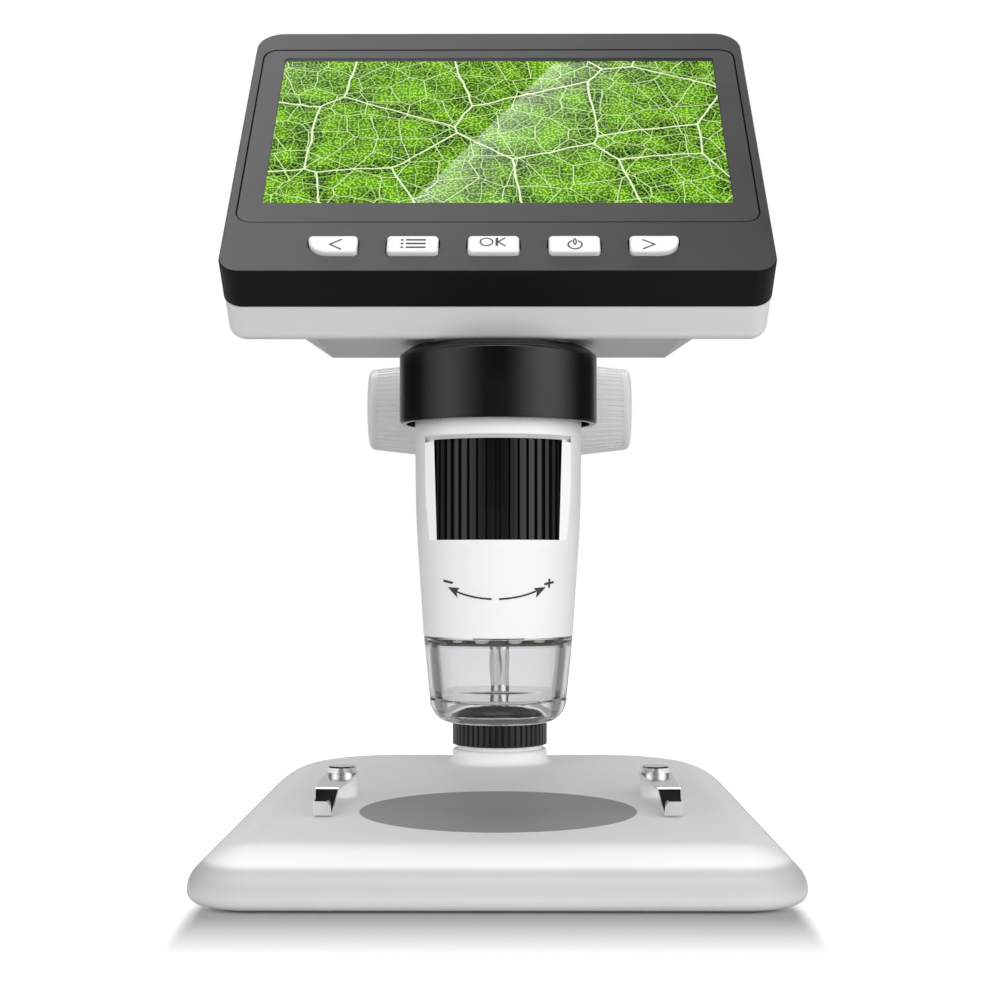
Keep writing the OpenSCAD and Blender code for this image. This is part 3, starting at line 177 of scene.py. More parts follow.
class Mat:
    """A node material with its Principled shader and short calls for the usual nodes."""

    SOCKETS = {"colour": "Base Color", "metal": "Metallic", "rough": "Roughness", "ior": "IOR",
               "clear": "Transmission Weight", "coat": "Coat Weight", "coat_rough": "Coat Roughness",
               "spec": "Specular IOR Level", "normal": "Normal", "alpha": "Alpha",
               "glow": "Emission Color", "glow_by": "Emission Strength"}

    def __init__(self, name):
        self.m = bpy.data.materials.new(name)
        self.m.use_nodes = True
        self.t = self.m.node_tree
        self.p = self.t.nodes["Principled BSDF"]
        self.out = self.t.nodes["Material Output"]
        self.coord = self.t.nodes.new("ShaderNodeTexCoord").outputs["Object"]

    def node(self, kind, **values):
        n = self.t.nodes.new(kind)
        for k, v in values.items():
            setattr(n, k, v)
        return n

    def link(self, a, b):
        self.t.links.new(a, b)

    def put(self, socket, value):
        if hasattr(value, "is_output"):
            self.link(value, socket)
        else:
            socket.default_value = value

    def set(self, **values):
        for k, v in values.items():
            self.put(self.p.inputs[self.SOCKETS[k]], v)

    def noise(self, scale, detail=2.0, coord=None, rough=0.5):
        n = self.node("ShaderNodeTexNoise")
        n.inputs["Scale"].default_value = scale
        n.inputs["Detail"].default_value = detail
        n.inputs["Roughness"].default_value = rough
        self.link(coord or self.coord, n.inputs["Vector"])
        return n

    def grain(self, scale, detail=2.0, coord=None, rough=0.5):
        """The noise's value alone."""
        return self.noise(scale, detail, coord, rough).outputs["Fac"]

    def wander(self, scale, detail, low, high, start=0.3):
        """Noise whose usual span is spread from low to high."""
        return self.remap(self.grain(scale, detail), start, 0.7, low, high)

    def voronoi(self, scale, coord=None, feature="F1", seed=1.0, flat=False):
        n = self.node("ShaderNodeTexVoronoi", feature=feature,
                      voronoi_dimensions="2D" if flat else "3D")
        n.inputs["Scale"].default_value = scale
        n.inputs["Randomness"].default_value = seed
        self.link(coord or self.coord, n.inputs["Vector"])
        return n.outputs["Distance"]

    def remap(self, value, a, b, c, d, kind="LINEAR"):
        n = self.node("ShaderNodeMapRange", interpolation_type=kind)
        self.link(value, n.inputs["Value"])
        for k, v in zip(("From Min", "From Max", "To Min", "To Max"), (a, b, c, d)):
            n.inputs[k].default_value = v
        return n.outputs["Result"]

    def math(self, op, a, b=0.0, clamp=False):
        n = self.node("ShaderNodeMath", operation=op, use_clamp=clamp)
        self.put(n.inputs[0], a)
        self.put(n.inputs[1], b)
        return n.outputs[0]

    def add(self, *values):
        total = values[0]
        for v in values[1:]:
            total = self.math("ADD", total, v)
        return total

    def mix(self, fac, a, b):
        n = self.node("ShaderNodeMix", data_type="RGBA")
        self.put(n.inputs["Factor"], fac)
        self.put(n.inputs[6], a)
        self.put(n.inputs[7], b)
        return n.outputs[2]

    def grey(self, level):
        """The same value in red, green and blue."""
        n = self.node("ShaderNodeCombineXYZ")
        for socket in n.inputs:
            self.link(level, socket)
        return n.outputs[0]

    def split(self, vector):
        n = self.node("ShaderNodeSeparateXYZ")
        self.link(vector, n.inputs[0])
        return n.outputs

    def dot(self, vector, axis):
        n = self.node("ShaderNodeVectorMath", operation="DOT_PRODUCT")
        self.link(vector, n.inputs[0])
        n.inputs[1].default_value = tuple(axis)
        return n.outputs["Value"]

    def facing(self):
        """The surface's own direction, in the row frame."""
        return self.node("ShaderNodeTexCoord").outputs["Normal"]

    def on_face(self, axis, away=0.0):
        """Place along one axis of the tilted face, in millimetres from the given start."""
        return self.math("SUBTRACT", self.dot(self.coord, axis * 1000), away)

    def stretch(self, x, y, z, coord=None):
        n = self.node("ShaderNodeMapping")
        n.inputs["Scale"].default_value = (x, y, z)
        self.link(coord or self.coord, n.inputs["Vector"])
        return n.outputs["Vector"]

    def bump(self, height, strength, distance):
        n = self.node("ShaderNodeBump")
        n.inputs["Strength"].default_value = strength
        n.inputs["Distance"].default_value = distance
        self.link(height, n.inputs["Height"])
        return n.outputs["Normal"]


PATCH = 45                                  # flow patches of moulded plastic, per metre
HAIR = 9000                                 # hairlines of ground metal, per metre
GRAIN_DEPTH, HAIR_DEPTH = 0.00002, 0.00001
ALONG_X, ALONG_Y, ALONG_Z = (0.06, 1, 1), (1, 0.06, 1), (1, 1, 0.06)


def moulded(name, colour, rough, grain=2200, bump=0.12, vary=0.03, coat=0.0):
    """Injection moulded plastic: faint flow patches, fine grain, roughness that wanders a little."""
    m = Mat(name)
    m.set(colour=m.mix(m.wander(PATCH, 3, 0, 1), tint(colour, 1 - vary), tint(colour, 1 + vary)),
          rough=m.wander(PATCH * 3, 4, rough - 0.03, rough + 0.04),
          normal=m.bump(m.grain(grain), bump, GRAIN_DEPTH))
    if coat:
        m.set(coat=coat, coat_rough=0.06)
    return m.m


def polished(name, colour, rough, along=ALONG_Z, scratch=0.04):
    """Plated or ground metal with hairlines along one direction."""
    m = Mat(name)
    hair = m.grain(HAIR, 2, m.stretch(*along))
    m.set(colour=m.mix(m.wander(120, 3, 0, 1), tint(colour, 0.97), tint(colour, 1.02)), metal=1.0,
          rough=m.remap(hair, 0.3, 0.7, rough, rough + scratch),
          normal=m.bump(hair, 0.03, HAIR_DEPTH))
    return m.m


def chrome_plate(name, colour, metal):
    """Bright plating; slopes that fall away toward the front, as on the clips, get a painted dark
    reflection.
    """
    m = Mat(name)
    facing = m.split(m.facing())
    painted_dark_slope = m.math("MULTIPLY", m.remap(facing["Z"], 0.55, 0.7, 0, 1),
                   m.remap(facing["Z"], 0.86, 0.97, 1, 0))
    painted_dark_slope = m.math("MULTIPLY", painted_dark_slope, m.remap(facing["Y"], -0.5, -0.25, 1, 0))
    hair = m.grain(HAIR, 2, m.stretch(*ALONG_Z))
    plate = m.mix(m.wander(120, 3, 0, 1), tint(colour, 0.97), tint(colour, 1.02))
    # the grey on these slopes is a painted reflection of dark surroundings, not the plating's own colour
    m.set(colour=m.mix(painted_dark_slope, plate, srgb(50)), metal=metal,
          rough=m.remap(hair, 0.3, 0.7, 0.08, 0.12), normal=m.bump(hair, 0.02, HAIR_DEPTH))
    return m.m


def speckled(name, colour, rough, size=1600, amount=0.25, bump=0.2):
    """Two tone speckle, for the stage disc, circuit boards and sprayed parts."""
    m = Mat(name)
    dots = m.grain(size, 4, rough=0.7)
    shade = m.add(m.remap(dots, 0.35, 0.65, -0.5, 0.5), m.wander(60, 3, -0.25, 0.25))
    m.set(colour=m.mix(m.remap(shade, -0.75, 0.75, 0, 1), tint(colour, 1 - amount),
                       tint(colour, 1 + amount)),
          rough=m.remap(dots, 0.3, 0.7, rough - 0.06, rough + 0.06),
          normal=m.bump(dots, bump, 0.00003))
    return m.m


def glassy(name, colour, rough, ior):
    """Clear glass with a trace of cloud."""
    m = Mat(name)
    m.set(colour=m.mix(m.wander(80, 3, 0, 1), colour, tint(colour, 0.985)), clear=1.0, ior=ior,
          rough=m.wander(500, 3, rough, rough + 0.02, 0.35))
    return m.m


def smoked(name, density):
    """Clear moulding that greys what is seen through a long way of wall; density per metre."""
    m = Mat(name)
    thin = m.node("ShaderNodeVolumeAbsorption")
    thin.inputs["Color"].default_value = (0, 0, 0, 1)
    thin.inputs["Density"].default_value = density
    m.link(thin.outputs[0], m.out.inputs["Volume"])
    m.set(colour=m.mix(m.grain(80, 3), srgb(255), srgb(251)), clear=1.0, ior=1.49,
          rough=m.wander(500, 3, 0.0, 0.02, 0.35),
          normal=m.bump(m.grain(160, 2, m.stretch(1, 1, 0.3)), 0.25, 0.0004))
    return m.m


def board(name, colour):
    """Printed board: solder mask with routed tracks and pale pads."""
    m = Mat(name)
    track = m.remap(m.voronoi(260, feature="DISTANCE_TO_EDGE"), 0.02, 0.06, 1, 0)
    pads = m.remap(m.voronoi(420), 0.12, 0.18, 1, 0)
    base = m.mix(track, tint(colour, 1), tint(colour, 1.9))
    m.set(colour=m.mix(pads, base, srgb(190, 180, 140)), rough=m.remap(pads, 0, 1, 0.35, 0.25),
          metal=m.math("MULTIPLY", pads, 0.8), normal=m.bump(track, 0.2, 0.00005))
    return m.m


def lit_lamp(name):
    """Small clear lamp, faintly lit."""
    m = Mat(name)
    m.set(colour=m.mix(m.grain(900, 3), srgb(246, 244, 234), srgb(240, 234, 210)), rough=0.12,
          clear=0.3, ior=1.5, glow=srgb(255, 252, 244), glow_by=0.2)
    return m.m


def leaf_picture(name):
    """The lit picture: a made-up leaf seen close, veins inside veins, in face millimetres."""
    m = Mat(name)
    flat = m.node("ShaderNodeCombineXYZ")
    m.link(m.on_face(ACROSS), flat.inputs[0])
    m.link(m.on_face(UP_FACE, DISPLAY_MIDDLE), flat.inputs[1])
    flat = flat.outputs[0]

    def bend(coord, scale, by):
        """The place pushed about by a noise, by that many millimetres."""
        off = m.node("ShaderNodeVectorMath", operation="SUBTRACT")
        m.link(m.noise(scale, 2, coord).outputs["Color"], off.inputs[0])
        off.inputs[1].default_value = (0.5, 0.5, 0.5)
        big = m.node("ShaderNodeVectorMath", operation="SCALE")
        m.link(off.outputs[0], big.inputs[0])
        big.inputs["Scale"].default_value = by
        add = m.node("ShaderNodeVectorMath", operation="ADD")
        m.link(coord, add.inputs[0])
        m.link(big.outputs[0], add.inputs[1])
        return add.outputs[0]

    def veins(coord, cell, half, soft_by, seed=1.0):
        """Distance from the cells' edges, and the vein along them: half its width and its blur."""
        d = m.voronoi(1 / cell, coord, "DISTANCE_TO_EDGE", seed, True)
        return d, m.remap(d, half / cell, (half + soft_by) / cell, 1, 0)

    moved = m.node("ShaderNodeMapping")
    moved.inputs["Location"].default_value = (11.0, 5.0, 0)
    moved.inputs["Rotation"].default_value = (0, 0, 0.5)
    m.link(bend(bend(flat, 0.06, 3.0), 0.3, 0.5), moved.inputs["Vector"])
    wide = moved.outputs["Vector"]
    main_d, main = veins(wide, 23, 0.13, 0.14, 0.9)
    mid_d, mid = veins(m.stretch(1, 1.15, 1, wide), 8.2, 0.05, 0.13)
    third_d, third = veins(bend(flat, 0.5, 0.3), 3.3, 0.04, 0.12, 0.9)
    small_d, small = veins(flat, 1.3, 0.02, 0.13, 0.85)
    spot = m.remap(m.voronoi(1 / 0.72, flat, "F1", 0.95, True), 0.18, 0.36, 1, 0)

    # tone: 0 is the darkest green and 1 the plain leaf
    tone = m.add(m.remap(m.grain(0.13, 3, flat, 0.6), 0.38, 0.64, -0.15, 0.7),
                 m.remap(third_d, 0.0, 0.3, 0, 0.3, "SMOOTHSTEP"),
                 m.remap(m.grain(1.6, 3, flat, 0.7), 0.35, 0.65, -0.2, 0.2))
    shade = m.add(m.remap(main_d, 0.0, 0.14, 0.45, 0, "SMOOTHSTEP"),
                  m.remap(mid_d, 0.0, 0.1, 0.2, 0, "SMOOTHSTEP"))
    tone = m.math("SUBTRACT", tone, shade, clamp=True)
    dark, leaf, lime = srgb(4, 48, 0), srgb(98, 172, 0), srgb(200, 255, 70)
    ground = m.math("MULTIPLY", tone, m.remap(small_d, 0.02, 0.25, 0.6, 1.1), clamp=True)
    body = m.mix(ground, dark, leaf)
    body = m.mix(m.math("MULTIPLY", spot, m.remap(tone, 0.0, 0.9, 0.3, 1.0)), body, lime)
    body = m.mix(m.math("MULTIPLY", small, 0.32), body, srgb(170, 228, 96))
    body = m.mix(m.math("MULTIPLY", third, 0.8), body, srgb(180, 240, 118))
    body = m.mix(m.math("MULTIPLY", mid, 0.95), body, srgb(214, 246, 170))
    body = m.mix(main, body, srgb(236, 252, 204))
    m.set(colour=srgb(3), rough=0.015, spec=0.5, glow=body, glow_by=1.12)
    return m.m


FACE_GREY, FACE_SHEEN_FADE = 87, 0.52             # the face's charcoal at the left, where a painted sheen lightens it, and its share at the right
FACE_HALF = 54
WINDOW_SIDE, WINDOW_TOP = 0.3, 1.2          # print that laps over the lit area, outside only


def face_colour(m, patch):
    """The face's charcoal with a painted sheen, lighter at the left and darker to the right, with faint
    patches.
    """
    # painted sheen: the charcoal is lighter at the left and fades to a darker share at the right
    sheen_across = m.remap(m.on_face(ACROSS), -FACE_HALF, FACE_HALF, 0, 1)
    plain = m.mix(sheen_across, srgb(FACE_GREY), srgb(FACE_GREY * FACE_SHEEN_FADE))
    return m.mix(m.wander(patch, 3, 0, 0.06), plain, srgb(110))


def face_plastic(name):
    """Dark face moulding: satin in front, with its sides painted almost black as shade."""
    m = Mat(name)
    # painted shade: surfaces that turn away from the front are coloured almost black, the front takes
    # the face's colour
    front = m.remap(m.dot(m.facing(), OUT_FACE), 0.9, 0.98, 0, 1)
    m.set(colour=m.mix(front, srgb(11), face_colour(m, PATCH)), rough=m.wander(140, 4, 0.4, 0.46),
          spec=m.remap(front, 0, 1, 0.12, 0.2), normal=m.bump(m.grain(2400), 0.1, GRAIN_DEPTH))
    return m.m


def window_plastic(name):
    """Window sheet: the face's charcoal with its painted sheen round the lit area, and all but clear
    over it.
    """
    m = Mat(name)
    x = m.math("ABSOLUTE", m.on_face(ACROSS))
    v = m.math("ABSOLUTE", m.on_face(UP_FACE, DISPLAY_MIDDLE))
    over = m.math("MAXIMUM", m.math("SUBTRACT", x, DISPLAY_W / 2),
                  m.math("SUBTRACT", v, DISPLAY_H / 2))
    lap = m.math("MAXIMUM", m.math("SUBTRACT", x, DISPLAY_W / 2 - WINDOW_SIDE),
                 m.on_face(UP_FACE, DISPLAY_MIDDLE + DISPLAY_H / 2 - WINDOW_TOP))
    outside = m.remap(m.dot(m.facing(), OUT_FACE), 0, 0.5, 0, 1)
    over = m.math("MAXIMUM", over, m.math("MULTIPLY", lap, outside))
    printed = m.math("GREATER_THAN", over, 0.05)
    m.set(colour=face_colour(m, 70), rough=m.wander(140, 4, 0.4, 0.46), spec=0.22,
          alpha=m.remap(printed, 0, 1, 0.03, 1))
    return m.m


def base_white(name):
    """White moulding with painted light and shade: broad top, a painted highlight on the rounded edge,
    painted shade on the upright wall that lightens toward its foot, and the collar and bosses painted
    palest.
    """
    m = Mat(name)
    # these levels paint light and shade into the white: a highlight on the rounded edge, shade on the
    # upright wall, painted light on its foot, the collar and the bosses
    top, edge_highlight, wall, foot, collar = 0.86, 0.91, 0.54, 0.8, 0.97
    z = m.math("MULTIPLY", m.split(m.coord)["Z"], 1000.0)
    level = m.add(m.remap(z, 0.5, 4.5, foot - wall, 0),
                  m.remap(z, 7.0, 8.2, wall, edge_highlight, "SMOOTHSTEP"),
                  m.remap(z, BASE_TOP - 0.35, BASE_TOP - 0.03, 0, top - edge_highlight),
                  m.remap(z, BASE_TOP + 0.1, BASE_TOP + 0.6, 0, collar - top),
                  m.wander(PATCH, 3, -0.01, 0.01))
    m.set(colour=m.grey(level), rough=m.wander(PATCH * 3, 4, 0.44, 0.5),
          normal=m.bump(m.grain(2600), 0.05, GRAIN_DEPTH))
    return m.m


def case_white(name, level):
    """Pale back moulding; its battery pod gets painted shade, deeper toward the ends."""
    m = Mat(name)
    depth = m.on_face(OUT_FACE, HEAD.dot(OUT_FACE))
    # painted shade on the battery pod's underside, darker toward its ends
    ends = m.remap(m.math("ABSOLUTE", m.on_face(ACROSS)), 18, 36, level * 0.9, level * 0.6)
    pod = m.remap(depth, -19.3, -18.8, 1, 0)
    tone = m.add(m.math("MULTIPLY", pod, ends), m.remap(pod, 0, 1, level, 0),
                 m.wander(PATCH, 3, -0.01, 0.01))
    m.set(colour=m.grey(tone), rough=m.wander(PATCH * 3, 4, 0.42, 0.48),
          normal=m.bump(m.grain(2400), 0.08, GRAIN_DEPTH))
    return m.m


# finish of each material slot
mats = {
    "white_shell": moulded("white_shell", (0.80, 0.80, 0.80, 1), 0.34, 2600, 0.05, 0.012, 0.15),
    "steel_plate": polished("steel_plate", srgb(150), 0.35, ALONG_Y, 0.12),
    "screw_steel": polished("screw_steel", srgb(190), 0.25),
    "rubber_black": moulded("rubber_black", srgb(34), 0.62, 1800, 0.4, 0.12),
    "stage_grey": speckled("stage_grey", srgb(140), 0.6, 1100, 0.08, 0.25),
    "chrome": chrome_plate("chrome", srgb(240), 0.82),
    "black_gloss": moulded("black_gloss", srgb(4), 0.24, 2600, 0.02, 0.08),
    "black_plastic": moulded("black_plastic", srgb(30), 0.3, 1800, 0.12, 0.1),
    "natural_plastic": moulded("natural_plastic", srgb(236, 228, 206), 0.45),
    "pad_fibre": speckled("pad_fibre", srgb(180, 160, 130), 0.85, 2500, 0.3, 0.5),
    "shaft_steel": polished("shaft_steel", srgb(200), 0.2, ALONG_X),
    "barrel_metal": polished("barrel_metal", srgb(40), 0.35),
    "lens_glass": glassy("lens_glass", srgb(235, 240, 250), 0.0, 1.52),
    "board_green": board("board_green", srgb(20, 90, 50)),
    "board_white": speckled("board_white", srgb(225), 0.4, 900, 0.05, 0.1),
    "ribbon": speckled("ribbon", srgb(200, 140, 60), 0.35, 700, 0.15, 0.1),
    "shade_clear": smoked("shade_clear", 80),
    "bezel_grey": face_plastic("bezel_grey"),
    "mask_black": face_plastic("mask_black"),
    "display_glass": leaf_picture("display_glass"),
    "display_metal": polished("display_metal", srgb(190), 0.35, ALONG_X),
    "switch_metal": speckled("switch_metal", srgb(150), 0.4, 1500, 0.1, 0.1),
    "socket_metal": polished("socket_metal", srgb(205), 0.25, ALONG_X),
    "case_light": moulded("case_light", (0.72, 0.72, 0.725, 1), 0.45, 2400, 0.08, 0.015),
    "battery_sleeve": moulded("battery_sleeve", srgb(60, 110, 190), 0.3),
    "lamp": lit_lamp("lamp"),
    "window_clear": window_plastic("window_clear"),
}
ink = moulded("print_grey", srgb(40), 0.5, 3000, 0.05, 0.05)

# nodes whose finish differs from the rest of their slot; the tube, knobs and keys are paler copies of
# the white plastic, painted lighter to stand in for light
OWN_FINISH = {
    "tube_shell": moulded("white_tube", (0.9, 0.9, 0.9, 1), 0.34, 2600, 0.05, 0.008, 0.15),
    "base_shell": base_white("white_base"),
    "rear_case": case_white("white_case", 0.86),
    "focus_wheel": moulded("wheel_black", srgb(9), 0.2, 2600, 0.02, 0.08),
    "seat_washer": moulded("washer_black", srgb(8), 0.6, 1800, 0.2, 0.1),
}
for side in ("left", "right"):
    OWN_FINISH["knob_" + side] = moulded("white_knob_" + side, (0.93, 0.93, 0.93, 1), 0.36,
                                         2600, 0.05, 0.008)
for key in ("left", "menu", "ok", "power", "right"):
    OWN_FINISH["button_" + key] = moulded("white_key_" + key, (0.88, 0.88, 0.88, 1), 0.36,
                                          2400, 0.05, 0.01)
slots = {s["node"]: s["material_slot"] for s in frame["record"]["subparts"]}
for name, ob in frame["nodes"].items():
    ob.data.materials.clear()
    ob.data.materials.append(OWN_FINISH.get(name, mats[slots[name]]))


# ---------- clear light shade, turned as one smooth wall ----------
def shade_profile():
    """Radius and height above the base's top, once round the wall."""
    low, bend, top = 18.3, 23.3, 35.8       # lower rim, end of the rounded foot, tube's lower edge
    mouth, side, foot = 15.28, 14.1, 9.8    # outer radii at the top, at the bend and at the rim
    wall = [k / 8 for k in range(9)]
    outer = [(mouth, top), (mouth, top - 0.3)]
    outer += [(side + 0.03 + (mouth - side - 0.03) * (1 - t),
               bend + 0.3 + (top - bend - 0.9) * (1 - t)) for t in wall]
    outer += [(side - 0.22, bend + 0.15), (side, bend)]
    turns = [math.radians(a) for a in range(6, 91, 6)]
    curve = [(foot + (side - foot) * math.cos(a), bend - (bend - low) * math.sin(a)) for a in turns]
    inner = [(9.05, low + 0.12), (8.95, low + 0.5), (8.95, low + 1.1), (9.2, low + 1.4),
             (10.6, low + 1.75), (11.4, low + 2.3), (11.7, bend)]
    inner += [(11.7 + 1.15 * t, bend + (top - bend - 0.6) * t) for t in wall[1:]]
    collar = [(11.85, top + 0.3), (11.85, 39.5), (13.4, 39.5), (13.4, top + 0.05)]
    return outer + curve + inner + collar


verts, faces = lathe(shade_profile(), 160, (0, TUBE_Y), BASE_TOP)
shade = mesh_piece("clear_shade", verts, faces, "microscope", mats["shade_clear"], True)
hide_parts("light_shade")


# ---------- icons on the keys ----------
KEY_DROP, KEY_TOP = 35.0, 1.1               # below the face's middle, and above the face
ICON_LOW, ICON_HIGH = KEY_TOP - 0.02, KEY_TOP + 0.03


def line(points, width, closed=False):
    return ("line", points, width, closed)


def oval(cx, cy, rx, ry, a0, a1, steps):
    return [(cx + rx * x, cy + ry * y) for x, y in arc(0, 0, 1, a0, a1, steps)]


menu_rows = [1.15 * k - 0.25 for k in (-1, 0, 1)]
ICONS = {                                   # key: its middle across the face, and its strokes
    "left": (-32.0, [line([(1.75, 1.1), (-0.5, -0.45), (1.75, -2.0)], 0.34)]),
    "menu": (-16.5, [line([(-2.26, y), (-1.75, y)], 0.46) for y in menu_rows]
             + [line([(-1.25, y), (2.57, y)], 0.46) for y in menu_rows]),
    "ok": (-0.8, [line(oval(-1.35, 0.25, 1.21, 1.15, 0, 342, 19), 0.3, True),
                  line([(0.65, 1.5), (0.65, -1.02)], 0.5),
                  line([(2.25, 1.48), (0.85, 0.25), (2.3, -1.02)], 0.32)]),
    "power": (14.9, [line(oval(0.09, -0.6, 1.34, 1.3, 112, 428, 26), 0.32),
                     line(oval(0.07, 0.35, 0.26, 0.92, 0, 340, 17), 0.26, True)]),
    "right": (30.4, [line([(-2.35, 0.95), (0.0, -0.5), (-2.35, -1.95)], 0.34)]),
}
for key, (x0, strokes) in ICONS.items():
    v, f = strokes_mesh(strokes, ICON_LOW, ICON_HIGH, lambda x, y, h: head(x0 + x, y - KEY_DROP, h))
    mesh_piece("icon_" + key, v, f, "button_" + key, ink)

# ---------- marks printed on the tube ----------
MM_PER_DEGREE = math.radians(1) * 16.4
MARK_TURN = -1.8                            # the marks' middle, in degrees from the front
SIGNS = [[(-40.4, 47.4), (-32.0, 46.95)],    # minus, and the two strokes of plus
         [(36.8, 46.7), (45.4, 47.1)], [(41.1, 47.8), (41.1, 45.95)]]


def tube_radius(z):
    """Outer radius of the white tube at height z above the base's top, on its straight cone."""
    return 15.4 + 1.25 * (z - 36) / 19.5


def along_line(a, b, steps, ends=1):
    """Points from a to b in equal steps; ends=0 leaves b out."""
    return [(a[0] + (b[0] - a[0]) * k / steps, a[1] + (b[1] - a[1]) * k / steps)
            for k in range(steps + ends)]


def arrow(side):
    """Bowed shaft and a solid head, in degrees from the front and height; side is -1 or 1."""
    tip = 36.6 if side < 0 else 38.2
    turns = [2.6 + 27.4 * k / 12 for k in range(13)]
    shaft = [(side * a, 43.8 + 2.25 * (a / 36.4) ** 2) for a in turns]
    corners = [(tip, 46.15), (tip - 10.2, 45.95), (tip - 7.4, 45.2), (tip - 8.2, 44.0)]
    rim = [p for a, b in zip(corners, corners[1:] + corners[:1]) for p in along_line(a, b, 4, 0)]
    return [line(shaft, 0.36), ("fan", [(side * a, z) for a, z in rim], 0, True)]


def mark_place(x, y, h):
    return tube(x / MM_PER_DEGREE + MARK_TURN, tube_radius(y) + h, y)


marks = arrow(-1) + arrow(1) + [line(along_line(a, b, 6), 0.46) for a, b in SIGNS]
marks = [(kind, [(a * MM_PER_DEGREE, z) for a, z in pts], w, c) for kind, pts, w, c in marks]
v, f = strokes_mesh(marks, -0.05, 0.06, mark_place)
mesh_piece("focus_marks", v, f, "microscope", ink)

# ---------- pale rim of the stage disc ----------
rim = [(28.45, 0.03), (28.85, 0.03), (28.85, -0.3), (28.45, -0.3)]
verts, faces = lathe(rim, 128, (0, TUBE_Y), BASE_TOP)
mesh_piece("stage_rim", verts, faces, "stand", mats["white_shell"])

# ---------- camera ----------
cam = bpy.data.cameras.new("camera")
cam.lens, cam.sensor_width = 61.32, 36
cam.clip_start, cam.clip_end = 0.01, 50
cam_ob = bpy.data.objects.new("camera", cam)
cam_ob.location = CAMERA_AT * MM
cam_ob.rotation_euler = (math.radians(90 + 1.84), 0, math.radians(0.22))
bpy.context.scene.collection.objects.link(cam_ob)
bpy.context.scene.camera = cam_ob

# ---------- lights: soft boxes that no surface mirrors ----------
SOFT_BOXES = [                              # name, place, aim, width, height, radiance
    ("box_left", (-0.68, -0.34, 0.16), (0, -0.03, 0.10), 0.5, 0.8, 1.72),
    ("box_right", (0.56, -0.44, 0.16), (0, -0.03, 0.10), 0.62, 0.8, 1.8),
    ("box_top", (-0.12, 0.05, 0.95), (0, -0.02, 0.05), 0.8, 0.8, 0.8),
    ("box_front", (0.08, -0.9, 0.32), (0, -0.03, 0.06), 0.6, 0.6, 3.5),
]
for name, at, aim, width, height, radiance in SOFT_BOXES:
    data = bpy.data.lights.new(name, "AREA")
    data.shape, data.size, data.size_y = "RECTANGLE", width, height
    data.energy = radiance * math.pi * width * height
    ob = bpy.data.objects.new(name, data)
    ob.location = at
    ob.rotation_euler = (Vector(aim) - Vector(at)).to_track_quat("-Z", "Y").to_euler()
    ob.visible_glossy = ob.visible_transmission = False
    bpy.context.scene.collection.objects.link(ob)

# ---------- cards that are only mirrored: strips at the sides, sheets above, glare ----------
CARD_Z = 0.62                               # height of the cards above


def glow_card(name, grid, glow, strength):
    """A grid of points that glows for mirrored rays alone; glow holds each point's share."""
    rows, cols = len(grid), len(grid[0])
    me = bpy.data.meshes.new(name)
    me.from_pydata([tuple(p) for row in grid for p in row], [],
                   [(i * cols + j, i * cols + j + 1, (i + 1) * cols + j + 1, (i + 1) * cols + j)
                    for i in range(rows - 1) for j in range(cols - 1)])
    layer = me.attributes.new("glow", "FLOAT", "POINT")
    layer.data.foreach_set("value", [g for row in glow for g in row])
    ob = bpy.data.objects.new(name, me)
    bpy.context.scene.collection.objects.link(ob)
    m = Mat(name)
    m.t.nodes.remove(m.p)
    share = m.node("ShaderNodeAttribute", attribute_name="glow").outputs["Fac"]
    shine = m.node("ShaderNodeEmission")
    m.link(m.math("MULTIPLY", share, strength), shine.inputs["Strength"])
    m.link(shine.outputs[0], m.out.inputs["Surface"])
    me.materials.append(m.m)
    for flag in ("visible_camera", "visible_diffuse", "visible_transmission", "visible_shadow"):
        setattr(ob, flag, False)


def side_card(name, middle, half, strength):
    """Tall strip bent round the tube's line, brightest in its middle and fading to both sides."""
    turns = [k / 12 - 1 for k in range(25)]
    angles = [math.radians(middle + half * t) for t in turns]
    grid = [[Vector((0.7 * math.sin(a), TUBE_Y * MM - 0.7 * math.cos(a), z)) for a in angles]
            for z in (0.005, 0.2, 0.4, 0.65)]
    glow_card(name, grid, [[math.cos(math.pi / 2 * t) ** 2 for t in turns]] * 4, strength)


def overhead_card(name, near, far, strength):
    """Sheet above, from y = near to y = far, fading at both ends."""
    grid = [[Vector((-0.45 + 0.9 * k / 12, near + (far - near) * i / 8, CARD_Z)) for k in range(13)]
            for i in range(9)]
    glow_card(name, grid, [[math.sin(math.pi * i / 8) ** 0.5] * 13 for i in range(9)], strength)


def mirrored(x, v):
    """Where the display at face point (x, v) mirrors the height of the cards above."""
    p = head(x, v, -1.0)
    d = (p - CAMERA_AT * MM).normalized()
    r = d - 2 * d.dot(OUT_FACE) * OUT_FACE
    return p + r * ((CARD_Z - p.z) / r.z)


side_card("strip_left", -58, 50, 1.3)
side_card("strip_right", 57, 52, 1.86)
overhead_card("overhead_back", 0.11, 0.6, 4.5)
overhead_card("overhead_front", -0.07, -0.6, 4.5)

